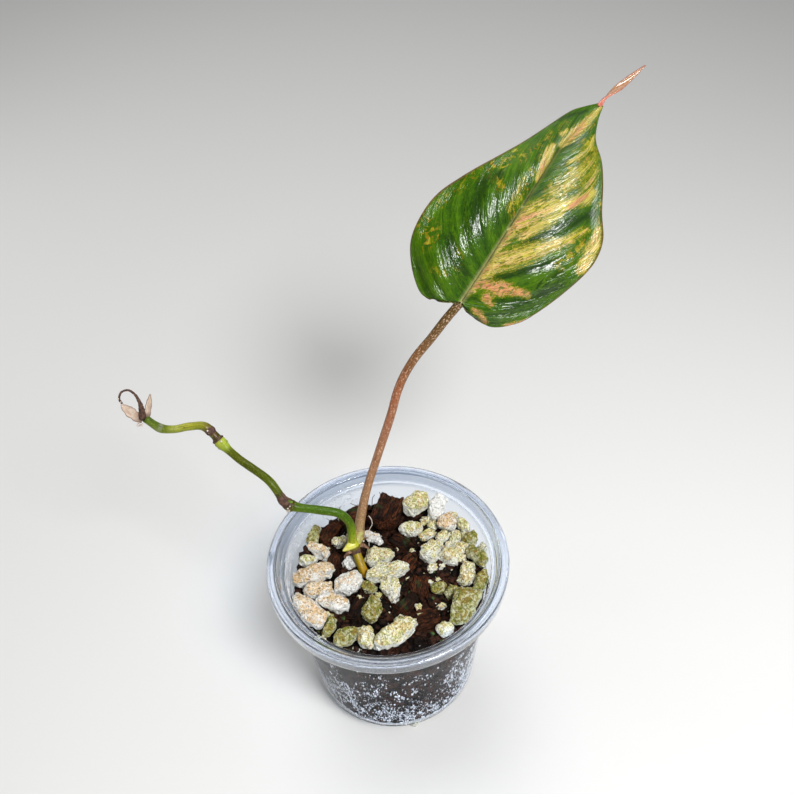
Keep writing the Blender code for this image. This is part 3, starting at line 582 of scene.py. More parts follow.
@dataclass(frozen=True)
class LeafFinish:
    """The glossy blade: green marbled with cream and pink along the veins, with painted shade in the sunken
    vein grooves.
    """

    green: Colour = (0.026, 0.085, 0.001)
    deep: Colour = (0.006, 0.026, 0.001)
    light: Colour = (0.090, 0.19, 0.002)
    olive: Colour = (0.20, 0.20, 0.003)
    rust: Colour = (0.30, 0.11, 0.010)
    cream: Colour = (0.44, 0.40, 0.035)
    pale: Colour = (0.68, 0.50, 0.19)
    blush: Colour = (0.62, 0.26, 0.14)
    flame: Colour = (0.36, 0.10, 0.06)
    rib: Colour = (0.58, 0.56, 0.24)
    tip: Colour = (0.66, 0.23, 0.17)
    tip_shade: Colour = (0.46, 0.13, 0.09)
    margin: Colour = (0.16, 0.05, 0.02)
    back: Colour = (0.20, 0.16, 0.06)
    vein_scale: Place = (0.85, 0.10, 1.0)
    fine_scale: Place = (3.2, 0.50, 1.0)
    ridge_scale: Place = (1.1, 0.28, 1.0)
    mottle_scale: Place = (1.25, 0.62, 1.0)

    def build(self, groups: SharedGroups) -> Material:
        """Makes the material.

        Args:
            groups: the shared groups.

        Returns:
            The material.
        """
        finish = Finish("marbled_leaf", groups)
        w = finish.w
        veins = w.attribute("vein_at", "Vector")
        place = w.own_place()
        streak = w.noise(w.stretch(veins, self.vein_scale), 1.0, 4.0, 0.3)
        fine = w.noise(w.stretch(veins, self.fine_scale), 1.0, 4.0, 0.4)
        speck = w.noise(place, 1500.0, 4.0, 0.6)
        mottle = w.noise(w.stretch(veins, self.mottle_scale), 1.0, 6.0, 1.2)
        groove_shade = w.attribute("groove_shade")
        jitter = w.plus(w.swing(streak, 1.1), w.swing(fine, 0.35))
        jitter = w.plus(jitter, w.swing(mottle, 1.5))
        jitter = w.plus(jitter, w.swing(speck, 0.7))
        marks = {}
        for name, source, low, high in (("cream", "cream", 0.36, 0.62), ("halo", "cream", 0.08, 0.50),
                                        ("blush", "blush", 0.30, 0.80), ("olive", "olive", 0.15, 0.9),
                                        ("deep", "deep", 0.15, 0.9)):
            field_value = w.attribute(source)
            level = w.plus(field_value, jitter)
            marks[name] = w.step(w.times(level, w.step(field_value, 0.0, 0.25)), low, high)
        bright = w.times(w.step(streak, 0.42, 0.72), 0.60)
        colour = w.blend(bright, self.green, self.light)
        lime = finish.group(groups.blotches, Vector=place, Scale=75.0, Level=0.54, Softness=0.10)
        colour = w.over(colour, lime.outputs["Mask"], 0.45, self.light)
        colour = w.over(colour, w.step(fine, 0.48, 0.68), 0.7, self.deep)
        patchy = finish.group(groups.blotches, Vector=place, Scale=900.0, Level=0.58, Softness=0.06)
        colour = w.over(colour, patchy.outputs["Mask"], 0.35, self.light)
        # Painted shade: darker green in the sunken grooves of the side veins.
        colour = w.over(colour, groove_shade, 0.75, self.deep)
        olive = w.blend(w.step(speck, 0.50, 0.62), self.olive, self.rust)
        patches = w.noise(place, 420.0, 6.0, 1.0)
        olive = w.blend(w.step(patches, 0.47, 0.53), olive, self.green)
        olive = w.over(olive, w.step(patches, 0.44, 0.39), 0.6, self.cream)
        colour = w.blend(marks["olive"], colour, olive)
        colour = w.over(colour, marks["deep"], 0.85, self.deep)
        colour = w.over(colour, marks["halo"], 0.6, self.olive)
        tone = w.noise(w.stretch(veins, (1.5, 0.13, 1.0)), 1.0, 3.0, 0.5)
        light = w.blend(w.step(tone, 0.40, 0.60), self.cream, self.pale)
        light = w.over(light, w.step(tone, 0.52, 0.66), 0.5, self.blush)
        light = w.over(light, w.step(fine, 0.50, 0.64), 0.6, self.olive)
        flame = w.blend(w.step(fine, 0.46, 0.60), self.blush, self.flame)
        flame = w.over(flame, w.step(mottle, 0.50, 0.60), 0.6, self.pale)
        light = w.over(light, marks["blush"], 0.9, flame)
        light = w.over(light, w.step(mottle, 0.53, 0.60), 0.80, self.green)
        light = w.over(light, w.step(speck, 0.53, 0.64), 0.6, self.rust)
        # Painted shade: olive in the sunken vein grooves of the cream marks.
        light = w.over(light, groove_shade, 0.35, self.olive)
        colour = w.blend(marks["cream"], colour, light)
        strewn = w.times(w.step(w.attribute("cream"), 0.02, 0.4), w.step(speck, 0.60, 0.66))
        colour = w.over(colour, strewn, 0.7, self.cream)
        pale_rib = w.step(w.axis(veins, "X"), 60.0, 5.0)
        rib = w.times(w.attribute("rib"), w.plus(0.35, w.times(pale_rib, 0.5)))
        colour = w.blend(rib, colour, self.rib)
        tip = w.blend(w.step(w.noise(place, 900.0, 4.0), 0.42, 0.62), self.tip, self.tip_shade)
        colour = w.blend(w.attribute("tip"), colour, tip)
        edge = w.step(w.attribute("edge"), 0.97, 0.995)
        colour = w.over(colour, edge, 0.6, self.margin)
        colour = w.over(colour, w.attribute("under"), 0.65, self.back)
        grain = w.noise(place, 1300.0, 2.0)
        ridges = w.noise(w.stretch(veins, self.ridge_scale), 1.0, 2.0, 0.4)
        height = w.plus(ridges, w.times(grain, 0.22))
        left = w.step(w.axis(veins, "Z"), 1.0, -1.0)
        dull = w.times(left, w.step(w.attribute("edge"), 0.35, 0.70))
        coat = w.less(0.78, w.times(dull, 0.50))
        finish.set(Base_Color=colour, Roughness=0.5, Specular_IOR_Level=0.05, Coat_Weight=coat,
                   Coat_Roughness=0.09, Coat_IOR=1.5)
        finish.bump(height, 0.55, 0.30)
        relief = w.add("ShaderNodeBump", {"Height": height, "Strength": 0.75, "Distance": 0.55 * MM})
        finish.set(Coat_Normal=relief.outputs["Normal"])
        return finish.material


@dataclass(frozen=True)
class SheathFinish:
    """The dry sheath: papery, streaked along its length and browned at its foot and edges."""

    pale: Colour = (0.74, 0.61, 0.50)
    tan: Colour = (0.44, 0.29, 0.20)
    brown: Colour = (0.12, 0.06, 0.035)
    strands: float = 9.0

    def build(self, groups: SharedGroups) -> Material:
        """Makes the material.

        Args:
            groups: the shared groups.

        Returns:
            The material.
        """
        finish = Finish("dry_paper_skin", groups)
        w = finish.w
        wrap = w.add("ShaderNodeSeparateXYZ", {0: w.add("ShaderNodeUVMap", uv_map="wrap").outputs["UV"]})
        drawn = w.add("ShaderNodeCombineXYZ", {"X": w.times(wrap.outputs["Y"], 2.0),
                                               "Y": wrap.outputs["X"], "Z": 0.0}).outputs[0]
        fibres = finish.group(groups.fibres, Vector=drawn, Scale=self.strands)
        stains = finish.group(groups.blotches, Vector=w.own_place(), Scale=420.0, Level=0.55, Softness=0.08)
        colour = w.over(self.pale, fibres.outputs["Strand"], 0.7, self.tan)
        colour = w.over(colour, stains.outputs["Mask"], 0.6, self.tan)
        foot = w.less(w.step(wrap.outputs["Y"], 0.42, 0.05),
                      w.times(fibres.outputs["Strand"], 0.25), True)
        colour = w.over(colour, foot, 0.8, self.brown)
        off = w.math("ABSOLUTE", w.less(wrap.outputs["X"], 0.5))
        colour = w.over(colour, w.step(off, 0.40, 0.49), 0.6, self.brown)
        finish.set(Base_Color=colour, Roughness=0.75, Specular_IOR_Level=0.2)
        finish.bump(fibres.outputs["Height"], 0.8, 0.3)
        return finish.material


@dataclass(frozen=True)
class PlainFinish:
    """A small thing's finish: two colours blotched together."""

    name: str
    first: Colour
    second: Colour
    scale: float = 500.0
    roughness: float = 0.8
    level: float = 0.52
    bump_mm: float = 0.2

    def build(self, groups: SharedGroups) -> Material:
        """Makes the material.

        Args:
            groups: the shared groups.

        Returns:
            The material.
        """
        finish = Finish(self.name, groups)
        place = finish.w.own_place()
        patch = finish.group(groups.blotches, Vector=place, Scale=self.scale, Level=self.level, Softness=0.12)
        finish.set(Base_Color=finish.w.blend(patch.outputs["Mask"], self.first, self.second),
                   Roughness=self.roughness)
        finish.bump(finish.w.noise(place, self.scale * 3.0, 3.0), 0.6, self.bump_mm)
        return finish.material


# Mesh helpers.


def free_into_mesh(bm: BMesh, name: str) -> Mesh:
    """A mesh made from a bmesh, which is freed."""
    mesh = bpy.data.meshes.new(name)
    bm.to_mesh(mesh)
    bm.free()
    return mesh


def place_object(name: str, data: bpy.types.ID) -> Object:
    """An object with the given data, linked to the scene."""
    made = bpy.data.objects.new(name, data)
    bpy.context.scene.collection.objects.link(made)
    return made


def put_piece(name: str, bm: BMesh, material: Material, slot: str,
              replaced: Iterable[str] = (), sharp_deg: float = 180.0) -> Object:
    """Turns a bmesh in millimetres into a finished piece in metres, which rides on the body.

    Args:
        name: the piece's name.
        bm: its shape, which is freed.
        material: its finish.
        slot: the record's material slot; not used.
        replaced: the CAD nodes that it stands for.
        sharp_deg: the angle past which an edge is sharp.

    Returns:
        The piece.
    """
    bmesh.ops.scale(bm, verts=bm.verts, vec=(MM, MM, MM))
    mesh = free_into_mesh(bm, name)
    mesh.materials.append(material)
    mesh.shade_smooth()
    if sharp_deg < 180.0:
        mesh.set_sharp_from_angle(angle=math.radians(sharp_deg))
    piece = place_object(name, mesh)
    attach(piece, BODY)
    if replaced:
        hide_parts(*replaced)
    LOG.info("%s: %d faces", name, len(mesh.polygons))
    return piece


def put_values(mesh: Mesh, name: str, values: Any) -> None:
    """Stores one value for all vertices, or one for each, as an attribute of the mesh."""
    layer = mesh.attributes.new(name, "FLOAT", "POINT")
    layer.data.foreach_set("value", np.full(len(mesh.vertices), values, np.float32))


def put_vectors(mesh: Mesh, name: str, values: Any) -> None:
    """Stores one vector at each vertex as an attribute of the mesh."""
    layer = mesh.attributes.new(name, "FLOAT_VECTOR", "POINT")
    layer.data.foreach_set("vector", np.asarray(values, np.float32).ravel())


def positions(mesh: Mesh) -> np.ndarray:
    """The mesh's vertices in millimetres, one row each."""
    flat = np.zeros(len(mesh.vertices) * 3, np.float32)
    mesh.vertices.foreach_get("co", flat)
    return flat.reshape(-1, 3).astype(float) / MM


def smooth_path(points: Iterable[Any], step: float) -> list[Vector]:
    """Points about a step apart on the smooth curve through the given points.

    Args:
        points: what the curve passes through.
        step: the spacing wanted.

    Returns:
        The points, both ends included.
    """
    knots = [Vector(p) for p in points]
    ends = [2 * knots[0] - knots[1]] + knots + [2 * knots[-1] - knots[-2]]
    dense = []
    for a, b, c, d in zip(ends, ends[1:], ends[2:], ends[3:]):
        for k in range(24):
            t = k / 24
            dense.append(0.5 * (2 * b + (c - a) * t + (2 * a - 5 * b + 4 * c - d) * t ** 2
                                + (3 * b - a - 3 * c + d) * t ** 3))
    dense.append(knots[-1])
    lengths = [0.0]
    for p, q in zip(dense, dense[1:]):
        lengths.append(lengths[-1] + (q - p).length)
    count = max(2, round(lengths[-1] / step))
    path = []
    i = 0
    for k in range(count + 1):
        want = lengths[-1] * k / count
        while i < len(dense) - 2 and lengths[i + 1] < want:
            i += 1
        share = (want - lengths[i]) / max(1e-9, lengths[i + 1] - lengths[i])
        path.append(dense[i].lerp(dense[i + 1], min(1.0, share)))
    return path


def add_sheet(bm: BMesh, columns: int, rows: int, place: Callable[[float, float], Vector],
              uv_name: str = "wrap") -> list[bmesh.types.BMVert]:
    """Adds a grid and moves each of its points to its place on a surface.

    Args:
        bm: the bmesh to add to.
        columns: faces across.
        rows: faces along.
        place: gives the point for a share across and a share along, from 0 to 1.
        uv_name: the UV map that keeps the two shares.

    Returns:
        The sheet's vertices, row by row.
    """
    made = bmesh.ops.create_grid(bm, x_segments=columns, y_segments=rows, size=1.0)["verts"]
    layer = bm.loops.layers.uv.get(uv_name) or bm.loops.layers.uv.new(uv_name)
    shares = {v: ((v.co.x + 1) / 2, (v.co.y + 1) / 2) for v in made}
    for face in {f for v in made for f in v.link_faces}:
        for loop in face.loops:
            loop[layer].uv = shares[loop.vert]
    for vert, (across, along) in shares.items():
        vert.co = place(across, along)
    return made


def ring_frames(path: list[Vector]) -> list[tuple[Vector, Vector]]:
    """The side and across directions of each ring of a tube, without twist.

    Args:
        path: the centre line's points.

    Returns:
        Two directions across the line at each point.
    """
    frames = []
    side = None
    for i in range(len(path)):
        along = (path[min(i + 1, len(path) - 1)] - path[max(i - 1, 0)]).normalized()
        side = along.orthogonal() if side is None else side - along * side.dot(along)
        side.normalize()
        frames.append((side.copy(), along.cross(side)))
    return frames


def add_tube(bm: BMesh, path: list[Vector], radius: Callable[[int, float], float],
             sides: int) -> None:
    """Adds a closed tube round a path.

    Args:
        bm: the bmesh to add to.
        path: the centre line.
        radius: gives the radius for a ring's number and an angle.
        sides: the faces round it.
    """
    frames = ring_frames(path)
    last = len(path) - 1

    def place(across: float, along: float) -> Vector:
        """The surface point for two shares."""
        i = round(along * last)
        angle = 2 * math.pi * across
        side, other = frames[i]
        return path[i] + (side * math.cos(angle) + other * math.sin(angle)) * radius(i, angle)

    made = add_sheet(bm, sides, last, place)
    bmesh.ops.remove_doubles(bm, verts=made, dist=WELD)
    bmesh.ops.holes_fill(bm, edges=[e for e in bm.edges if e.is_boundary], sides=0)
    bmesh.ops.recalc_face_normals(bm, faces=bm.faces)


def put_tube(name: str, path: list[Vector], radius: Callable[[int, float], float], sides: int,
             material: Material, slot: str, replaced: Iterable[str] = ()) -> Object:
    """Makes one tube a piece of its own.

    Args:
        name: the piece's name.
        path: the centre line.
        radius: gives the radius for a ring's number and an angle.
        sides: the faces round it.
        material: its finish.
        slot: the record's material slot.
        replaced: the CAD nodes that it stands for.

    Returns:
        The piece.
    """
    bm = bmesh.new()
    add_tube(bm, path, radius, sides)
    return put_piece(name, bm, material, slot, replaced)


def turn_profile(profile: Iterable[tuple[float, float]], sides: int) -> BMesh:
    """Spins a section about the cup's axis.

    Args:
        profile: the section's points, each a radius and a height.
        sides: the faces round the shape.

    Returns:
        The closed shape.
    """
    bm = bmesh.new()
    verts = [bm.verts.new((radius, 0.0, z)) for radius, z in profile]
    edges = [bm.edges.new(pair) for pair in zip(verts, verts[1:])]
    bmesh.ops.spin(bm, geom=verts + edges, cent=(0, 0, 0), axis=(0, 0, 1), angle=2 * math.pi, steps=sides,
                   use_merge=True)
    bmesh.ops.remove_doubles(bm, verts=bm.verts, dist=WELD)
    bmesh.ops.recalc_face_normals(bm, faces=bm.faces)
    return bm


class Gathering:
    """Collects many small shapes in one bmesh, a batch at a time."""

    def __init__(self, batch: int = 60) -> None:
        """Starts empty.

        Args:
            batch: how many shapes are made before they are passed on.
        """
        self.whole = bmesh.new()
        self.part = bmesh.new()
        self.batch = batch
        self.count = 0

    def open(self) -> BMesh:
        """The bmesh that the next shape goes in."""
        self.count += 1
        if self.count % self.batch == 0:
            self.flush()
        return self.part

    def flush(self) -> None:
        """Passes the batch on to the whole."""
        mesh = free_into_mesh(self.part, "batch")
        self.whole.from_mesh(mesh)
        bpy.data.meshes.remove(mesh)
        self.part = bmesh.new()

    def close(self) -> BMesh:
        """The whole, once the last batch is in."""
        self.flush()
        self.part.free()
        return self.whole


def put_under(piece: Object, facing: Vector) -> None:
    """Stores which vertices are on the lower of a wall's two shells, as the attribute "under"."""
    shells = positions(piece.data) @ np.array(facing)
    half = len(shells) // 2
    first_low = shells[:half].mean() < shells[half:].mean()
    put_values(piece.data, "under", (np.arange(len(shells)) < half) == first_low)


def thicken(piece: Object, thickness: float, offset: float = -1.0) -> bpy.types.SolidifyModifier:
    """Gives a sheet a wall in millimetres, by a modifier, which is returned."""
    wall = piece.modifiers.new("thickness", "SOLIDIFY")
    wall.thickness = thickness * MM
    wall.offset = offset
    return wall


def bake_modifiers(piece: Object) -> None:
    """Makes what the modifiers give the piece's own mesh.

    Args:
        piece: the finished piece.
    """
    bpy.context.view_layer.update()
    shaped = piece.evaluated_get(bpy.context.evaluated_depsgraph_get())
    mesh = bpy.data.meshes.new_from_object(shaped)
    piece.modifiers.clear()
    piece.data = mesh


# The leaf.


class Side(Enum):
    """The two halves of the leaf, with the sign of their across axis."""

    LEFT = -1
    RIGHT = 1


@dataclass(frozen=True)
class Stroke:
    """A mark on the leaf, drawn as a line through (along, across, half width) points."""

    strength: float
    points: list[Place]

    def cover(self, u: np.ndarray, v: np.ndarray) -> np.ndarray:
        """How far places lie inside the mark.

        Args:
            u: the places along the leaf.
            v: the places across it.

        Returns:
            The strength on the line, falling to 0 outside.
        """
        best = np.zeros_like(u)
        for (u0, v0, w0), (u1, v1, w1) in zip(self.points, self.points[1:]):
            du, dv = u1 - u0, v1 - v0
            t = np.clip(((u - u0) * du + (v - v0) * dv) / (du * du + dv * dv), 0.0, 1.0)
            gap = np.hypot(u - u0 - t * du, v - v0 - t * dv)
            best = np.maximum(best, 1.0 - gap / ((w0 + (w1 - w0) * t) * 2.0))
        return np.clip(best, 0.0, 1.0) * self.strength

    def own_half(self, across: np.ndarray) -> np.ndarray:
        """Where a mark that lies to one side of the midrib may show.

        Args:
            across: the places' distances from the midrib.

        Returns:
            1 on the mark's own side and 0 past the midrib.
        """
        middle = sum(v for _, v, _ in self.points) / len(self.points)
        if -2.0 < middle < 1.0:
            return np.ones_like(across)
        return np.clip(0.5 + across * math.copysign(2.0, middle), 0.0, 1.0)


@dataclass
class LeafBlade:
    """The heart-shaped leaf with its quilted halves, sunken veins and twisted drip tip."""

    notch: Place = (32.5, 43.5, 168.0)
    along: Place = (0.625, 0.481, 0.615)
    facing: Place = (-0.04, -0.77, 0.64)
    length: float = 84.0
    lobe_rows: int = 30
    rows: int = 130
    columns: int = 34
    slope: float = 0.75
    arch: float = 3.0
    crown: float = 3.2
    droop: float = 1.6
    wave: float = 1.3
    waves: float = 3.5
    thickness: float = 0.7
    rib_thickness: float = 1.8
    half_shift: float = 40.0
    tip_start: float = 80.0
    outlines: dict[Side, list[tuple[float, float]]] = field(default_factory=lambda: {
        Side.LEFT: [(0.0, 0.0), (-0.1, -1.8), (-3.9, -7.0), (-5.9, -11.5), (-4.7, -16.0), (0.9, -22.7),
                    (8.0, -27.7), (18.0, -29.5), (27.0, -28.9), (36.0, -25.4), (48.0, -19.3), (58.0, -14.7),
                    (68.0, -10.7), (76.0, -7.4), (80.0, -4.5), (84.0, -1.0)],
        Side.RIGHT: [(0.0, 0.0), (0.0, 1.8), (-1.9, 5.5), (-2.1, 9.5), (-0.9, 14.5), (3.5, 19.4), (9.2, 23.0),
                     (20.0, 27.0), (32.0, 29.8), (40.0, 30.0), (47.0, 27.8), (54.0, 22.0), (62.0, 16.4),
                     (68.0, 11.6), (73.0, 5.6), (79.0, 2.4), (84.0, 1.0)],
    })
    wave_phase: dict[Side, float] = field(default_factory=lambda: {Side.LEFT: 0.0, Side.RIGHT: 0.45})
    vein_feet: dict[Side, list[float]] = field(default_factory=lambda: {
        Side.LEFT: [-12.0, -4.0, 2.6, 5.0, 8.5, 13.0, 18.4, 25.0, 33.0, 42.0, 52.0, 62.0, 84.0],
        Side.RIGHT: [-12.0, -4.0, 2.2, 6.8, 12.0, 18.0, 26.0, 34.0, 43.0, 52.0, 62.0, 84.0],
    })
    vein_lean: dict[Side, list[tuple[float, float]]] = field(default_factory=lambda: {
        Side.LEFT: [(-10.0, 0.0), (2.0, 0.2), (8.0, 0.15), (18.0, 0.4), (32.0, 0.85), (50.0, 1.5),
                    (84.0, 2.2)],
        Side.RIGHT: [(-10.0, 0.0), (2.0, 0.2), (7.0, 0.95), (18.0, 1.0), (34.0, 1.3), (50.0, 2.0),
                     (84.0, 2.5)],
    })
    vein_curl: float = 30.0
    quilt: float = 0.55
    ripple: float = 0.16
    rib_bow: tuple[tuple[float, float], ...] = (
        (0.0, 0.0), (16.0, -0.6), (32.0, -1.5), (46.0, -2.3), (62.0, -3.0), (72.0, -1.6), (84.0, 0.0))
    drip_tip: tuple[tuple[float, float, float, float], ...] = (
        (83.0, 0.0, 1.3, 30.0), (86.0, 0.1, 0.95, 70.0), (88.5, 0.7, 1.3, 120.0), (92.0, 1.5, 1.5, 165.0),
        (96.0, 2.6, 1.25, 185.0), (100.0, 3.7, 0.8, 195.0), (103.6, 4.7, 0.25, 200.0))
    marks: dict[str, list[Stroke]] = field(default_factory=lambda: {
        "cream": [
            Stroke(1.0, [(4, 0.1, 1.2), (10, 0.8, 1.8), (17, 1.5, 2.8), (21, 4.7, 3.0), (26, 8.8, 2.6),
                         (32, 12.7, 1.9), (36, 15.9, 1.3), (39, 18.6, 0.9)]),
            Stroke(1.0, [(21, -0.1, 1.0), (26, -0.6, 1.6), (32, 0.3, 2.2), (37, 1.6, 2.9), (41, 3.8, 3.0),
                         (45, 6.7, 2.2), (47, 10.1, 1.6), (51, 12.5, 1.7), (54, 14.5, 1.9), (57, 15.2, 1.3)]),
            Stroke(0.8, [(30, 4.1, 1.3), (35, 5.9, 1.8), (39, 8.3, 1.8), (44, 10.6, 1.2)]),
            Stroke(1.0, [(48, 24.4, 1.0), (45, 26.3, 1.6), (40, 26.9, 1.9), (34, 28.0, 1.7),
                         (32, 27.7, 0.9)]),
            Stroke(0.7, [(46, 21.5, 1.0), (43, 19.9, 1.4), (39, 17.7, 1.1)]),
            Stroke(0.5, [(49, 4.3, 2.0), (55, 6.7, 3.0), (61, 8.6, 3.0), (66, 9.0, 2.0)]),
            Stroke(0.6, [(57, 12.5, 1.6), (60, 12.6, 1.6), (64, 11.8, 1.2)]),
            Stroke(0.6, [(60, 2.6, 0.6), (65, 4.6, 1.0), (69, 5.6, 1.0), (73, 4.4, 0.7)]),
            Stroke(1.0, [(49, -3.0, 0.6), (53, -3.8, 1.1), (57, -4.4, 1.4), (60, -5.2, 1.3),
                         (62, -5.4, 0.8)]),
            Stroke(1.0, [(64, -3.2, 0.8), (67, -2.3, 1.3), (71, -1.5, 1.5), (75, -0.7, 1.3), (80, 0.0, 0.9),
                         (83, 0.5, 0.5)]),
            Stroke(0.8, [(67, -5.2, 0.8), (69, -4.4, 0.8)]),
            Stroke(0.5, [(35, -5.1, 1.0), (39, -5.7, 1.1), (47, -7.2, 0.9)]),
            Stroke(0.9, [(7, 0.2, 0.8), (10, 3.6, 1.6), (11, 7.9, 2.2), (13, 12.3, 1.8), (15, 17.5, 1.1)]),
            Stroke(0.8, [(6, 6.1, 1.4), (5, 9.1, 1.1)]),
            Stroke(0.9, [(0, 5.0, 0.8), (0, 7.7, 1.1), (-1, 11.0, 0.8)]),
            Stroke(0.8, [(2, 17.2, 0.4), (5, 20.8, 0.9), (9, 23.4, 0.5)]),
        ],
        "blush": [
            Stroke(1.0, [(7, 0.2, 1.0), (10, 3.5, 2.0), (11, 7.9, 2.6), (13, 13.0, 2.0), (16, 18.3, 1.2)]),
            Stroke(0.9, [(6, 6.1, 1.6), (5, 9.1, 1.4)]),
            Stroke(0.9, [(0, 5.0, 1.2), (0, 7.7, 1.4), (-1, 11.0, 1.2)]),
            Stroke(0.9, [(2, 17.2, 0.6), (5, 20.8, 1.0), (9, 23.4, 0.6)]),
            Stroke(0.8, [(25, -0.4, 1.0), (31, -0.3, 1.4), (36, 0.6, 1.4), (39, 3.0, 1.0)]),
            Stroke(0.9, [(48, 11.9, 1.2), (51, 12.8, 1.6), (55, 14.3, 1.0)]),
            Stroke(0.8, [(53, -3.8, 1.2), (56, -4.1, 1.0)]),
            Stroke(0.8, [(67, -1.7, 1.0), (71, -1.3, 1.4), (75, -0.9, 1.0)]),
            Stroke(0.8, [(65, 7.1, 0.9), (65, 9.8, 1.0)]),
            Stroke(0.7, [(60, 12.6, 1.2), (58, 12.6, 1.0)]),
            Stroke(0.7, [(45, 1.7, 0.6), (47, 3.0, 0.8)]),
            Stroke(0.7, [(4, 0.1, 1.0), (10, 0.4, 1.2), (16, 0.4, 1.2)]),
        ],
        "olive": [
            Stroke(0.9, [(15, -27.5, 2.5), (14, -23.9, 2.8), (9, -22.0, 2.0)]),
            Stroke(0.8, [(43, -20.2, 1.6), (46, -17.8, 2.2), (52, -15.1, 1.6)]),
            Stroke(0.7, [(41, -15.5, 2.0), (40, -11.1, 1.6)]),
            Stroke(0.6, [(14, -11.5, 1.0), (11, -8.1, 1.2)]),
            Stroke(0.6, [(4, -13.2, 2.0), (7, -7.7, 1.5)]),
            Stroke(0.8, [(77, -2.7, 1.0), (77, 2.2, 1.5), (72, 3.7, 1.5)]),
            Stroke(0.9, [(57, 18.2, 0.9), (54, 21.5, 1.2), (50, 23.8, 1.0)]),
            Stroke(0.7, [(35, -3.3, 1.6), (42, -4.4, 1.6), (50, -6.2, 1.4)]),
            Stroke(0.6, [(53, -11.9, 2.0), (60, -9.3, 1.6), (67, -7.7, 1.2)]),
            Stroke(0.9, [(49, 5.4, 3.6), (57, 7.0, 4.6), (65, 6.6, 4.0), (72, 3.8, 2.2)]),
            Stroke(0.7, [(30, 20.0, 2.0), (38, 23.0, 2.0), (44, 21.5, 1.6)]),
            Stroke(0.45, [(24, -26.0, 2.0), (34, -24.0, 2.2), (42, -20.0, 2.0)]),
            Stroke(0.4, [(56, -8.0, 2.0), (64, -7.6, 1.8), (72, -6.0, 1.4)]),
            Stroke(0.7, [(27, 11.5, 1.2), (34, 15.9, 1.2), (39, 20.3, 1.2)]),
        ],
        "deep": [
            Stroke(1.0, [(28, 5.9, 0.8), (34, 9.5, 1.4), (40, 12.8, 1.8), (46, 16.5, 2.0), (51, 19.6, 1.8)]),
            Stroke(0.8, [(23, -10.8, 3.0), (30, -16.5, 3.0), (39, -17.2, 2.4), (43, -15.6, 1.6)]),
            Stroke(0.8, [(15, -16.8, 2.0), (10, -10.8, 2.0), (9, -5.1, 1.6)]),
            Stroke(0.9, [(13, 4.3, 1.2), (21, 11.3, 1.8), (27, 16.7, 1.8)]),
            Stroke(0.7, [(7, 15.0, 3.0), (17, 20.7, 3.0), (25, 24.0, 3.0)]),
            Stroke(0.8, [(71, -9.4, 1.2), (75, -6.2, 1.0), (79, -2.8, 0.6)]),
            Stroke(0.7, [(31, -3.5, 1.2), (37, -6.6, 1.2), (45, -6.1, 0.9)]),
            Stroke(0.7, [(67, 8.3, 1.2), (67, 4.2, 1.2), (62, 5.1, 1.2)]),
        ],
    })

    def __post_init__(self) -> None:
        """Works out the leaf's own axes."""
        self.origin = Vector(self.notch)
        self.u_axis = Vector(self.along).normalized()
        facing = Vector(self.facing)
        self.w_axis = (facing - self.u_axis * facing.dot(self.u_axis)).normalized()
        self.v_axis = self.u_axis.cross(self.w_axis)

    def point(self, u: float, v: float, w: float) -> Vector:
        """A point from its place along, across and out of the blade."""
        return self.origin + self.u_axis * u + self.v_axis * v + self.w_axis * w

    def bow(self, u: float) -> float:
        """How far the midrib runs to one side at a place along it."""
        return float(np.interp(u, *zip(*self.rib_bow)))

    def stations(self, side: Side) -> list[tuple[Vector, float, float]]:
        """Places on one side's outline, each with its foot on the midrib and its share of the outline.

        Args:
            side: the half of the leaf.

        Returns:
            The outline point, the foot and the share, row by row.
        """
        flat = smooth_path([(u, v, 0.0) for u, v in self.outlines[side]], 0.25)
        feet = [max(0.0, p.x - self.slope * abs(p.y)) for p in flat]
        first = next(i for i, foot in enumerate(feet) if foot > 0.0)
        rows = [(flat[round((first - 1) * k / self.lobe_rows)], 0.0, first * k / self.lobe_rows / len(flat))
                for k in range(1, self.lobe_rows + 1)]
        i = first
        for k in range(1, self.rows + 1):
            want = self.length * k / self.rows
            while i < len(flat) - 1 and feet[i] < want - 1.5 * min(1.0, want / 6.0):
                i += 1
            rows.append((flat[i], want, i / len(flat)))
        rows[-1] = (flat[-1], self.length, 1.0)
        return rows

    def rise(self, u: float, v: float, share: float, turn: float) -> float:
        """Height of the upper face before its fine relief, as the solid has it.

        Args:
            u: the place along the leaf.
            v: the distance from the midrib.
            share: the distance from the midrib as a share of the half width.
            turn: how much of the outline lies behind, as a share.

        Returns:
            The height.
        """
        arch = self.arch * math.sin(math.pi * min(1.0, max(0.0, u / self.length)))
        width = min(1.0, abs(v) / (share * 30.0)) if share > 0 else 0.0
        crown = self.crown * math.sin(math.pi * min(1.0, share * 1.15)) * width
        wave = self.wave * share ** 3 * math.sin(2 * math.pi * self.waves * turn) * width
        return arch + crown - self.droop * share ** 2 * width + wave

    def vein_foot(self, u: float, v: float, share: float, side: Side) -> float:
        """Where on the midrib the vein through a place starts.

        Args:
            u: the place along the leaf.
            v: the distance from the midrib.
            share: the same distance as a share of the half width.
            side: the half of the leaf.

        Returns:
            The foot along the midrib.
        """
        curl = self.vein_curl * (1.0 - math.sqrt(max(0.0, 1.0 - min(0.97, share) ** 2)))
        stops = list(zip(*self.vein_lean[side]))
        foot = u - curl
        for _ in range(12):
            want = u - curl - float(np.interp(foot, *stops)) * abs(v)
            foot += 0.5 * (want - foot)
        return foot

    def relief(self, foot: float, share: float, side: Side) -> float:
        """The quilting between the sunken side veins."""
        span, pillow = self.pillow(foot, side)
        room = math.sin(math.pi * min(1.0, 0.12 + share * 0.88)) ** 0.6
        small = noise.noise(Vector((foot * 0.9, share * 2.2, side.value * 7.0)))
        return (self.quilt * min(1.0, span / 7.0) * pillow + self.ripple * small) * room

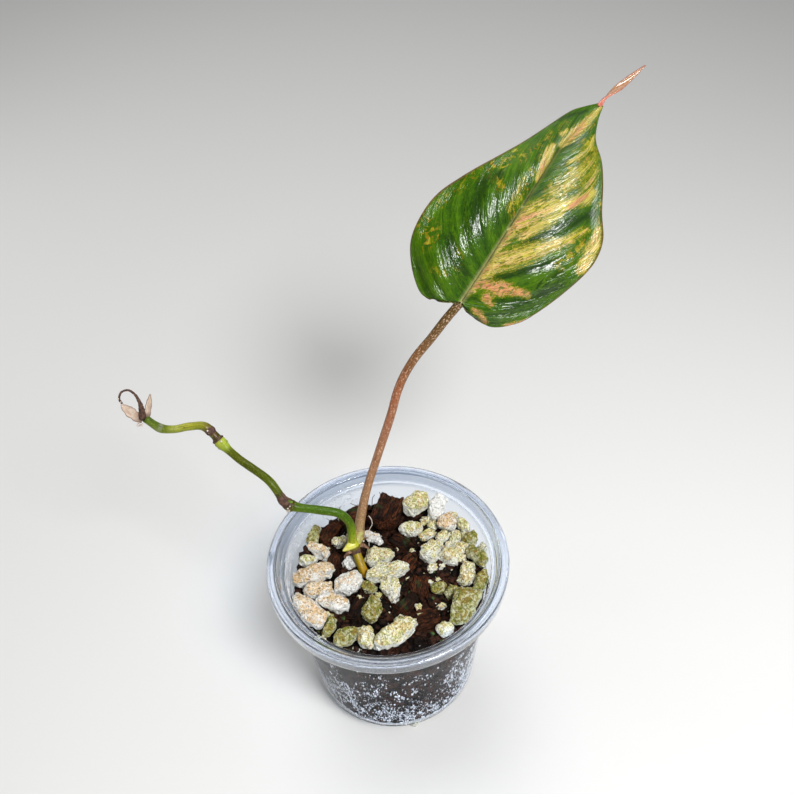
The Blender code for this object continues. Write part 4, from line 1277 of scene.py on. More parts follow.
    def pillow(self, foot: float, side: Side) -> tuple[float, float]:
        """The spacing of the veins about a foot, and how far the blade swells between them, from 0 to 1.

        Args:
            foot: where the vein meets the midrib.
            side: the half of the leaf.

        Returns:
            The spacing and the swelling.
        """
        feet = self.vein_feet[side]
        k = max(0, min(len(feet) - 2, sum(1 for f in feet if f <= foot) - 1))
        span = feet[k + 1] - feet[k]
        phase = min(1.0, max(0.0, (foot - feet[k]) / span))
        return span, math.sin(math.pi * phase) ** 0.7

    def add_half(self, bm: BMesh, side: Side, layers: dict[str, Any]) -> None:
        """Adds one half of the upper face, with its values at each vertex.

        Args:
            bm: the bmesh to add to.
            side: the half of the leaf.
            layers: the vertex layers for the vein coordinates, the edge and the plan.
        """
        rows = self.stations(side)
        last = len(rows) - 1
        seen: list[tuple[float, float, float, float]] = []

        def place(across: float, along: float) -> Vector:
            """The surface point for a share across and along the half.

            Args:
                across: the share across the sheet.
                along: the share along the sheet.

            Returns:
                The point.
            """
            edge, foot, turn = rows[round(along * last)]
            u = foot + (edge.x - foot) * across - 0.18 * abs(edge.y) * across * (1 - across)
            v = edge.y * across + self.bow(foot) * (1.0 - across) ** 2
            w = self.rise(u, edge.y * across, across, turn + self.wave_phase[side])
            vein = self.vein_foot(u, edge.y * across, across, side)
            w += self.relief(vein, across, side) * min(1.0, abs(edge.y) / 8.0)
            w -= 0.5 * math.exp(-(edge.y * across / 0.7) ** 2) * min(1.0, abs(edge.y) / 4.0)
            seen.append((vein, abs(edge.y * across), across, u))
            return self.point(u, v, w)

        made = add_sheet(bm, self.columns, last, place)
        for vert, (vein, away, across, u) in zip(made, seen):
            vert[layers["vein_at"]] = (vein, away, side.value * self.half_shift)
            vert[layers["edge"]] = across
            vert[layers["rib"]] = math.exp(-(away / (0.65 - 0.005 * u)) ** 2)
            # How far a place lies in a side vein's groove, which the finish darkens as painted shade.
            vert[layers["groove_shade"]] = max(0.0, 1.0 - 1.25 * self.pillow(vein, side)[1]) * (1.0 - across ** 3)

    def add_tip(self, bm: BMesh, layers: dict[str, Any]) -> None:
        """Adds the thin drip tip, which twists edge-on and back.

        Args:
            bm: the bmesh to work on.
            layers: the vertex layers to fill.
        """
        path = smooth_path([(u, v, 0.0) for u, v, _, _ in self.drip_tip], 0.5)
        stops = [p.x for p in path]
        knots, _, halves, twists = zip(*self.drip_tip)

        def place(across: float, along: float) -> Vector:
            """The surface point for a share across and along the tip.

            Args:
                across: the share across the sheet.
                along: the share along the sheet.

            Returns:
                The point.
            """
            i = round(along * (len(path) - 1))
            half = float(np.interp(stops[i], knots, halves))
            angle = math.radians(float(np.interp(stops[i], knots, twists)))
            off = half * (2 * across - 1)
            keel = -0.25 * half * (1 - (2 * across - 1) ** 2)
            return self.point(stops[i], path[i].y + off * math.cos(angle) - keel * math.sin(angle),
                              -off * math.sin(angle) - keel * math.cos(angle))

        for vert in add_sheet(bm, 8, len(path) - 1, place):
            vert[layers["tip"]] = 1.0
            vert[layers["vein_at"]] = (90.0, 0.0, 0.0)

    def build(self, finish: Material) -> None:
        """Makes the leaf and dresses it.

        Args:
            finish: the leaf's material.
        """
        bm = bmesh.new()
        layers = {name: bm.verts.layers.float.new(name) for name in ("edge", "rib", "tip", "groove_shade")}
        layers["vein_at"] = bm.verts.layers.float_vector.new("vein_at")
        for side in Side:
            self.add_half(bm, side, layers)
        bmesh.ops.remove_doubles(bm, verts=bm.verts, dist=WELD)
        self.add_tip(bm, layers)
        bmesh.ops.recalc_face_normals(bm, faces=bm.faces)
        for face in bm.faces:
            along = (face.calc_center_median() - self.origin).dot(self.u_axis)
            if face.normal.dot(self.w_axis) < 0 and along < self.tip_start:
                face.normal_flip()
        piece = put_piece("leaf_blade", bm, finish, "leaf_green", ["leaf"])
        group = piece.vertex_groups.new(name="rib")
        ribs = np.zeros(len(piece.data.vertices), np.float32)
        piece.data.attributes["rib"].data.foreach_get("value", ribs)
        for index, amount in enumerate(ribs):
            if amount > 0.02:
                group.add([index], float(amount), "REPLACE")
        wall = thicken(piece, self.rib_thickness)
        wall.vertex_group = group.name
        wall.thickness_vertex_group = self.thickness / self.rib_thickness
        bake_modifiers(piece)
        spots = positions(piece.data) - np.array(self.origin)
        u = spots @ np.array(self.u_axis)
        v = spots @ np.array(self.v_axis)
        rib = np.interp(u, *zip(*self.rib_bow))
        for name, strokes in self.marks.items():
            put_values(piece.data, name,
                       np.max([s.cover(u, v) * s.own_half(v - rib) for s in strokes], axis=0))
        put_under(piece, self.w_axis)


# The cup, the mix and what lies in it.


@dataclass
class GrowCup:
    """The turned clear cup with its beaded lip, inner ledges and drain holes."""

    height: float = 80.0
    sides: int = 144
    rim_r: float = 47.5
    rim_inner_r: float = 43.5
    skirt_drop: float = 4.5
    wall: float = 0.9
    base_flat_r: float = 23.5
    corner_r: float = 12.0
    seat_z: float = 76.4
    seat_r: float = 42.1
    seat_inner_r: float = 40.5
    stack_z: float = 68.4
    stack_r: float = 40.0
    stack_inner_r: float = 39.2
    drain_r: float = 2.2
    drain_circle_r: float = 29.0
    drain_first_deg: float = -77.0
    drain_count: int = 4

    def wall_inner_r(self, z: float) -> float:
        """Radius of the inner wall at a height.

        Args:
            z: the height.

        Returns:
            The radius.
        """
        if z >= self.seat_z:
            return self.seat_r
        if z >= self.stack_z:
            share = (z - self.stack_z) / (self.seat_z - self.stack_z)
            return self.stack_r + (self.seat_inner_r - self.stack_r) * share
        low_r = self.base_flat_r + self.corner_r - self.wall
        if z >= self.corner_r:
            return low_r + (self.stack_inner_r - low_r) * (z - self.corner_r) / (self.stack_z - self.corner_r)
        inner = self.corner_r - self.wall
        return self.base_flat_r + math.sqrt(max(0.0, inner ** 2 - (self.corner_r - max(z, self.wall)) ** 2))

    @staticmethod
    def arc(centre: tuple[float, float], radius: float, start: float, end: float, steps: int) -> list[tuple]:
        """Points of a round stretch of the profile, both ends included."""
        angles = [math.radians(start + (end - start) * i / steps) for i in range(steps + 1)]
        return [(centre[0] + radius * math.cos(a), centre[1] + radius * math.sin(a)) for a in angles]

    def profile(self) -> list[tuple[float, float]]:
        """The section from the base's centre outside, over the lip and back down inside.

        Returns:
            The section's points, each a radius and a height.
        """
        corner = (self.base_flat_r, self.corner_r)
        low = self.height - self.skirt_drop
        under = self.height - self.wall
        points = [(0.0, 0.0)] + self.arc(corner, self.corner_r, -90, 0, 12)
        points += [(self.stack_inner_r + self.wall, self.stack_z - self.wall - 0.4)]
        points += [(self.stack_r + self.wall, self.stack_z),
                   (self.seat_inner_r + self.wall, self.seat_z - 1.6)]
        points += [(self.seat_r + self.wall, self.seat_z - self.wall + 0.1),
                   (self.rim_inner_r + self.wall, under)]
        points += [(self.rim_r - self.wall, under), (self.rim_r - self.wall, low + 0.2)]
        points += self.arc((self.rim_r - self.wall / 2, low + 0.3), self.wall / 2 - 0.02, 180, 360, 6)
        points += self.arc((self.rim_r - 0.75, self.height - 0.75), 0.75, 0, 90, 5)
        points += [(self.rim_r - 1.4, self.height - 0.12), (self.rim_r - 2.0, self.height - 0.3)]
        points += [(self.rim_inner_r + 1.1, self.height - 0.3), (self.rim_inner_r + 0.8, self.height - 0.05)]
        points += self.arc((self.rim_inner_r + 0.45, self.height - 0.45), 0.45, 90, 180, 4)
        points += [(self.seat_r + 0.15, self.seat_z + 0.25), (self.seat_r - 0.2, self.seat_z)]
        points += [(self.seat_inner_r + 0.2, self.seat_z - 0.15), (self.seat_inner_r, self.seat_z - 0.45)]
        points += [(self.stack_r, self.stack_z + 0.2), (self.stack_r - 0.2, self.stack_z)]
        points += [(self.stack_inner_r, self.stack_z - 0.5)]
        points += self.arc(corner, self.corner_r - self.wall, 0, -90, 12)
        return points + [(0.0, self.wall)]

    def build(self, finish: Material) -> None:
        """Makes the cup and dresses it.

        Args:
            finish: the material.
        """
        bm = turn_profile(self.profile(), self.sides)
        piece = put_piece("grow_cup", bm, finish, "clear_plastic", ["pot"], sharp_deg=40.0)
        drills = bmesh.new()
        for i in range(self.drain_count):
            angle = math.radians(self.drain_first_deg) + 2 * math.pi * i / self.drain_count
            spot = Vector((math.cos(angle), math.sin(angle), 0.0)) * self.drain_circle_r * MM
            bmesh.ops.create_cone(drills, cap_ends=True, segments=24, radius1=self.drain_r * MM,
                                  radius2=self.drain_r * MM, depth=2 * self.corner_r * MM,
                                  matrix=Matrix.Translation(spot))
        tool = place_object("drain_drills", free_into_mesh(drills, "drain_drills"))
        cut = piece.modifiers.new("drains", "BOOLEAN")
        cut.operation = "DIFFERENCE"
        cut.solver = "EXACT"
        cut.object = tool
        bake_modifiers(piece)
        bpy.data.objects.remove(tool)


@dataclass
class PottingMix:
    """The fine coco mix that fills the cup, rough on top and against the wall."""

    cup: GrowCup
    top: float = 66.0
    gap: float = 0.35
    bump: float = 1.3
    sides: int = 200
    ring: float = 1.1

    def height_at(self, x: float, y: float) -> float:
        """Height of the mix's rough top at a place."""
        broad = self.bump * noise.noise(Vector((x, y, self.top)) * 0.13)
        fine = noise.fractal(Vector((x, y, 3.0)) * 0.45, 1.0, 2.0, 4)
        return self.top + broad + 0.9 * fine

    def build(self, finish: Material) -> None:
        """Makes the mix and dresses it.

        Args:
            finish: the material.
        """
        cup = self.cup
        profile = [(0.0, cup.wall + self.gap)]
        profile += cup.arc((cup.base_flat_r, cup.corner_r), cup.corner_r - cup.wall - self.gap, -90, 0, 14)
        z = cup.corner_r + 1.0
        while z < self.top - 1.0:
            profile.append((cup.wall_inner_r(z) - self.gap, z))
            z += self.ring
        radius = cup.wall_inner_r(self.top) - self.gap - 0.6
        while radius > 0.5:
            profile.append((radius, self.top))
            radius -= self.ring
        profile.append((0.0, self.top))
        bm = turn_profile(profile, self.sides)
        for vert in bm.verts:
            if vert.co.z > self.top - 0.01:
                vert.co.z = self.height_at(vert.co.x, vert.co.y)
            elif vert.co.z > cup.wall + self.gap + 0.2:
                hollow = max(0.0, noise.fractal(vert.co * 0.30, 1.0, 2.0, 4) + 0.15)
                out = Vector((vert.co.x, vert.co.y, 0.0)).normalized()
                vert.co -= out * min(2.2, 2.4 * hollow)
        put_piece("coco_mix_fill", bm, finish, "coco_mix", ["potting_mix"])


@dataclass(frozen=True)
class Crumb:
    """A small lump, given one by one: place, length, width, height and turn."""

    x: float
    y: float
    length: float
    width: float
    height: float
    turn: float


@dataclass(frozen=True)
class Dust:
    """How dust is strewn over a band of the wall: how much, where, how clustered and how large."""

    piece: str
    count: int
    low: float
    span: float
    cloud: tuple[float, float]
    knot: tuple[float, float]
    gain: float
    level: float
    least: float
    most: float
    middle: float
    spread: float
    stray: float
    smallest: float
    growth: float

    def chance(self, spot: Vector) -> float:
        """The chance that a speck at a place of the wall is kept, from its clusters and its height.

        Args:
            spot: a place on the wall.

        Returns:
            The chance, from 0 to 1.
        """
        crowd = self.cloud[0] * noise.fractal(spot * self.cloud[1], 1.0, 2.0, 2)
        crowd += self.knot[0] * noise.noise(spot * self.knot[1])
        depth = math.exp(-((spot.z - self.middle) / self.spread) ** 2)
        share = min(self.most, max(self.least, crowd * self.gain + self.level))
        return share * (self.stray + (1 - self.stray) * depth)


@dataclass
class Gravel:
    """The perlite lumps, the husk chips, the crumbs, fibres and moss between them."""

    cup: GrowCup
    mix: PottingMix
    seed: int = 11
    lump_count: int = 38
    chip_count: int = 10
    rough: float = 0.9
    small_lumps: tuple[Crumb, ...] = (
        Crumb(16.5, 25.5, 4.5, 4.0, 4.0, 0), Crumb(9.0, 33.5, 5.5, 4.0, 4.0, 20),
        Crumb(16.5, 18.0, 8.0, 4.0, 4.5, 15), Crumb(3.5, -21.5, 5.0, 4.0, 4.0, 50),
        Crumb(20.0, -16.0, 4.5, 2.5, 3.0, 10), Crumb(39.0, 9.5, 4.0, 3.5, 4.0, 0),
        Crumb(17.5, 1.5, 4.5, 3.5, 3.0, 30), Crumb(11.0, -16.5, 2.6, 3.8, 3.0, 10),
        Crumb(11.5, -19.5, 2.6, 2.0, 2.0, 0), Crumb(16.0, -4.5, 2.6, 2.0, 2.2, 0),
        Crumb(19.5, -3.6, 1.8, 1.8, 1.8, 0), Crumb(5.5, 36.0, 3.0, 2.4, 2.6, 0),
        Crumb(10.0, 10.5, 2.4, 2.0, 2.0, 0), Crumb(3.5, 12.0, 1.8, 1.5, 1.6, 0),
        Crumb(8.5, 2.2, 1.8, 1.6, 1.6, 0), Crumb(-26.5, -28.0, 3.6, 2.8, 3.0, 40),
        Crumb(27.5, -27.0, 2.8, 2.2, 2.4, 20), Crumb(7.2, -2.5, 1.4, 1.2, 1.2, 0),
        Crumb(20.8, 12.4, 4.6, 3.8, 4.4, 25), Crumb(25.6, 12.6, 4.2, 3.6, 4.0, -10),
        Crumb(26.0, 17.4, 3.6, 3.0, 3.8, 0), Crumb(32.2, 17.6, 3.8, 3.4, 4.0, 40),
        Crumb(29.6, 4.6, 4.0, 3.2, 3.8, 15), Crumb(33.2, 0.6, 3.8, 3.0, 3.6, 70),
        Crumb(19.4, 22.6, 4.4, 3.8, 4.2, -20), Crumb(28.2, 26.4, 4.0, 3.4, 4.0, 30),
        Crumb(33.4, -11.8, 3.6, 3.0, 3.4, 0), Crumb(21.4, 2.4, 3.0, 2.6, 2.8, 0),
        Crumb(-24.6, -17.6, 3.4, 2.8, 3.2, 10), Crumb(-23.6, 3.0, 3.6, 3.0, 3.4, 35),
        Crumb(-11.4, -10.6, 3.0, 2.6, 2.8, 0), Crumb(-4.6, -10.2, 3.2, 2.8, 3.0, 60),
        Crumb(-12.6, -24.0, 3.0, 2.4, 2.6, 0))
    drain_crumb: tuple[float, float, float, float] = (6.7, -30.4, 2.2, 2.1)
    stains: dict[int, float] = field(default_factory=lambda: {
        2: -0.7, 3: 0.6, 4: 0.3, 9: -1.2, 11: -0.2, 12: -1.0, 13: -0.7, 15: 0.8, 18: 0.7, 24: 1.0, 27: 0.6,
        28: 0.7, 30: -0.3, 33: 0.4, 34: -1.6, 37: 0.9})
    wall_r: float = 37.0
    dust: tuple[Dust, ...] = (
        Dust(piece="wall_flecks", count=8200, low=3.0, span=67.0, cloud=(0.8, 0.085), knot=(1.0, 0.30),
             gain=1.9, level=0.16, least=0.02, most=0.9, middle=24.0, spread=22.0, stray=0.1, smallest=0.10,
             growth=0.48),
        Dust(piece="wall_speckles", count=7000, low=2.0, span=46.0, cloud=(0.6, 0.11), knot=(0.7, 0.42),
             gain=1.3, level=0.42, least=0.06, most=1.0, middle=17.0, spread=15.0, stray=0.0, smallest=0.08,
             growth=0.30))
    mist_count: int = 1100
    fibre_count: int = 210

    def node_shape(self, node: str) -> BMesh:
        """A copy of a CAD node's shape in millimetres, with its loose triangles joined.

        Args:
            node: the CAD node's name.

        Returns:
            The shape.
        """
        bm = bmesh.new()
        bm.from_mesh(frame["nodes"][node].data)
        bmesh.ops.scale(bm, verts=bm.verts, vec=(1 / MM, 1 / MM, 1 / MM))
        bmesh.ops.remove_doubles(bm, verts=bm.verts, dist=1e-3)
        return bm

    def refine(self, bm: BMesh, cuts: int, rounds: int) -> None:
        """Splits every face and softens the corners.

        Args:
            bm: the bmesh to work on.
            cuts: how often each edge is cut.
            rounds: how often the corners are softened.
        """
        bmesh.ops.subdivide_edges(bm, edges=bm.edges, cuts=cuts, use_grid_fill=True)
        for _ in range(rounds):
            bmesh.ops.smooth_vert(bm, verts=bm.verts, factor=0.5, use_axis_x=True, use_axis_y=True,
                                  use_axis_z=True)
        bm.normal_update()

    def erode(self, bm: BMesh, amount: float, seed: float) -> None:
        """Gives a lump its bosses, hollows and pits.

        Args:
            bm: the lump.
            amount: the depth of the coarse relief.
            seed: keeps two lumps from looking alike.
        """
        shift = Vector((seed, seed * 0.7, -seed))
        moved = []
        for vert in bm.verts:
            spot = vert.co + shift
            coarse = noise.fractal(spot * 0.20, 0.8, 2.1, 3)
            near = noise.voronoi(spot * 0.62)[0][0]
            boss = math.sqrt(max(0.0, 1.0 - (near / 0.85) ** 2))
            small = noise.voronoi(spot * 1.6)[0][0]
            crumb = math.sqrt(max(0.0, 1.0 - (small / 0.85) ** 2))
            grain = noise.noise(spot * 3.1)
            lift = amount * coarse + 0.45 * (boss - 0.9) + 0.34 * (crumb - 0.7) + 0.18 * grain
            moved.append(vert.normal * lift)
        for vert, shift_by in zip(bm.verts, moved):
            vert.co += shift_by

    def build_lumps(self, finishes: dict[str, Material]) -> None:
        """Makes a rough lump round each perlite node.

        Args:
            finishes: the material for each slot.
        """
        slots = {s["node"]: s["material_slot"] for s in frame["record"]["subparts"]}
        rng = random.Random(self.seed)
        for i in range(1, self.lump_count + 1):
            node = f"perlite_{i:02d}"
            bm = self.node_shape(node)
            self.refine(bm, 8, 2)
            self.erode(bm, self.rough, 13.7 * i)
            slot = slots[node]
            piece = put_piece(f"perlite_lump_{i:02d}", bm, finishes[slot], slot, [node])
            stain = self.stains.get(i, rng.uniform(-0.3, 0.3))
            put_values(piece.data, "lump", stain)
            heights = positions(piece.data)[:, 2]
            buried = self.mix.top
            put_values(piece.data, "crown", np.clip((heights - buried) / (heights.max() - buried), 0.0, 1.0))

    def build_chips(self, finish: Material) -> None:
        """Makes a fibrous chip round each husk node.

        Args:
            finish: the husk's material.
        """
        rng = random.Random(self.seed + 1)
        for i in range(1, self.chip_count + 1):
            node = f"husk_chip_{i:02d}"
            bm = self.node_shape(node)
            self.refine(bm, 7, 4)
            spots = np.array([v.co[:] for v in bm.verts])
            middle = spots.mean(axis=0)
            axes = np.linalg.eigh(np.cov((spots - middle).T))[1][:, ::-1]
            local = (spots - middle) @ axes
            for vert, (a, b, c) in zip(bm.verts, local):
                strand = noise.noise(Vector((a * 0.10, b * 1.1, c * 1.1 + i * 9.0)))
                torn = noise.fractal(Vector((a * 0.35, b * 0.35, c * 0.35 + i * 5.0)), 1.0, 2.0, 3)
                vert.co += vert.normal * (0.75 * strand + 0.7 * torn)
            piece = put_piece(f"husk_piece_{i:02d}", bm, finish, "coco_husk", [node])
            put_vectors(piece.data, "grain", local + np.array([17.0 * i, 0.0, 0.0]))
            put_values(piece.data, "tone", rng.uniform(-0.1, 0.2))

    def lump_tops(self) -> list[tuple[Vector, Vector]]:
        """The boxes of the lumps and chips, which crumbs keep clear of."""
        names = [f"perlite_{i:02d}" for i in range(1, self.lump_count + 1)]
        names += [f"husk_chip_{i:02d}" for i in range(1, self.chip_count + 1)]
        return [tuple(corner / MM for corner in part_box(name)) for name in names]

    def add_crumb(self, bm: BMesh, spot: Vector, size: Vector, turn: float, level: int, seed: float) -> None:
        """Adds one rough little stone.

        Args:
            bm: the bmesh to add to.
            spot: its centre.
            size: its half sizes.
            turn: its turn about the vertical, in radians.
            level: how finely it is made.
            seed: keeps two crumbs from looking alike.
        """
        made = bmesh.ops.create_icosphere(bm, subdivisions=level, radius=1.0)["verts"]
        turned = Matrix.Rotation(turn, 3, "Z")
        for vert in made:
            at = vert.co.normalized()
            rough = 1.0 + 0.42 * noise.noise(at * 1.7 + Vector((seed, 0, 0)))
            rough += (0.16 * noise.noise(at * 5.0 + Vector((0, seed, 0)))) if level > 2 else 0.0
            vert.co = spot + turned @ Vector((at.x * size.x, at.y * size.y, at.z * size.z)) * rough

    def build_crumbs(self, white: Material, mossy: Material, coco: Material) -> None:
        """Makes the small lumps and the fine crumbs on the mix.

        Args:
            white: the finish of the perlite crumbs.
            mossy: the finish of the moss specks.
            coco: the finish of the coco crumbs.
        """
        rng = random.Random(self.seed + 2)
        heap = Gathering(1)
        for i, crumb in enumerate(self.small_lumps):
            spot = Vector((crumb.x, crumb.y, self.mix.height_at(crumb.x, crumb.y) + crumb.height * 0.42))
            size = Vector((crumb.length, crumb.width, crumb.height)) / 2
            self.add_crumb(heap.open(), spot, size, math.radians(crumb.turn), 4, 3.1 * i)
        x, y, z, radius = self.drain_crumb
        self.add_crumb(heap.open(), Vector((x, y, z)), Vector((radius, radius * 0.9, radius * 0.9)), 0.4, 4,
                       77.0)
        piece = put_piece("small_perlite", heap.close(), white, "perlite_cream")
        put_values(piece.data, "lump", 0.2)
        put_values(piece.data, "crown", (positions(piece.data)[:, 2] - 62.0) / 10.0)

        boxes = self.lump_tops()
        reach = self.cup.wall_inner_r(self.mix.top) - 1.2

        def free_spot(size: float) -> Vector:
            """A random place on the mix that no lump covers.

            Args:
                size: the size.

            Returns:
                The place.
            """
            while True:
                radius_at = reach * math.sqrt(rng.random())
                angle = rng.uniform(0, 2 * math.pi)
                spot = Vector((radius_at * math.cos(angle), radius_at * math.sin(angle), 0.0))
                inside = any(low.x - size < spot.x < high.x + size and low.y - size < spot.y < high.y + size
                             and ((spot.x - (low.x + high.x) / 2) / (high.x - low.x)) ** 2
                             + ((spot.y - (low.y + high.y) / 2) / (high.y - low.y)) ** 2 < 0.22
                             for low, high in boxes)
                if not inside:
                    spot.z = self.mix.height_at(spot.x, spot.y)
                    return spot

        for name, count, low, high, material, slot in (
                ("perlite_grit", 150, 0.25, 0.75, white, "perlite_white"),
                ("moss_specks", 60, 0.4, 1.1, mossy, "perlite_mossy"),
                ("coco_crumbs", 1100, 0.5, 1.7, coco, "coco_mix")):
            heap = Gathering()
            for _ in range(count):
                size = low + (high - low) * rng.random() ** 2
                spot = free_spot(0.4 * size)
                spot.z += size * rng.uniform(0.1, 0.7)
                shape = Vector((size * rng.uniform(0.8, 1.6), size * rng.uniform(0.6, 1.0),
                                size * rng.uniform(0.5, 0.9)))
                self.add_crumb(heap.open(), spot, shape, rng.uniform(0, math.pi),
                               2 if name != "coco_crumbs" else 1, rng.uniform(0, 90))
            piece = put_piece(name, heap.close(), material, slot)
            put_values(piece.data, "lump", 0.0)
            put_values(piece.data, "crown", 0.5)

    def build_fibres(self, finish: Material) -> None:
        """Makes the loose coco fibres that lie on the mix and the chips.

        Args:
            finish: the material.
        """
        rng = random.Random(self.seed + 3)
        heap = Gathering(1)
        tops = self.lump_tops()[self.lump_count:]
        for k in range(self.fibre_count):
            if k % 3:
                low, high = tops[rng.randrange(len(tops))]
                start = Vector((rng.uniform(low.x, high.x), rng.uniform(low.y, high.y), 0.0))
                level = high.z - 0.4
            else:
                angle = rng.uniform(0, 2 * math.pi)
                out = Vector((math.cos(angle), math.sin(angle), 0.0))
                start = out * self.wall_r * math.sqrt(rng.random())
                level = self.mix.height_at(start.x, start.y) + 0.5
            start.z = level
            heading = rng.uniform(0, 2 * math.pi)
            length = rng.uniform(2.5, 9.0)
            points = [start]
            for _ in range(3):
                heading += rng.uniform(-0.5, 0.5)
                step = Vector((math.cos(heading), math.sin(heading), rng.uniform(-0.25, 0.12))) * length / 3
                points.append(points[-1] + step)
            if any(math.hypot(p.x, p.y) > self.cup.wall_inner_r(max(p.z, 60.0)) - 1.0 for p in points):
                continue
            thick = rng.uniform(0.07, 0.16)
            add_tube(heap.open(), smooth_path(points, length / 7), lambda i, a: thick, 5)
        piece = put_piece("coco_fibres", heap.close(), finish, "coco_husk")
        put_vectors(piece.data, "grain", positions(piece.data) * np.array([1.0, 3.0, 3.0]))
        put_values(piece.data, "tone", 0.45)

    def build_wall_flecks(self, finish: Material) -> None:
        """Makes the condensation and perlite dust that show through the wall.

        Args:
            finish: the material.
        """
        rng = random.Random(self.seed + 4)

        def add_fleck(angle: float, z: float, size: float) -> None:
            """Adds one flat fleck on the inner wall.

            Args:
                angle: the angle, in radians.
                z: the height.
                size: the size.
            """
            radius = self.cup.wall_inner_r(z) - 0.12
            out = Vector((math.cos(angle), math.sin(angle), 0.0))
            turned = out.to_track_quat("Z", "Y").to_matrix().to_4x4()
            shape = (size * rng.uniform(0.5, 1.2), size * rng.uniform(0.8, 2.6), 0.13, 1.0)
            place = Matrix.Translation(out * radius + Vector((0, 0, z))) @ turned @ Matrix.Diagonal(shape)
            bmesh.ops.create_icosphere(heap.open(), subdivisions=1, radius=1.0, matrix=place)

        for dust in self.dust:
            heap = Gathering()
            made = 0
            while made < dust.count:
                angle = rng.uniform(0, 2 * math.pi)
                z = dust.low + dust.span * rng.random()
                spot = Vector((math.cos(angle) * self.wall_r, math.sin(angle) * self.wall_r, z))
                if rng.random() < dust.chance(spot):
                    made += 1
                    add_fleck(angle, z, dust.smallest + dust.growth * rng.random() ** 4)
            for _ in range(self.mist_count if dust is self.dust[0] else 0):
                angle = math.radians(rng.uniform(105.0, 235.0))
                z = rng.uniform(67.5, 77.5)
                if noise.noise(Vector((angle * 6.0, z * 0.5, 0.0))) > -0.25:
                    add_fleck(angle, z, 0.10 + 0.14 * rng.random())
            put_piece(dust.piece, heap.close(), finish, "perlite_white")


# The vine, the leaf stalk and the dry tip.


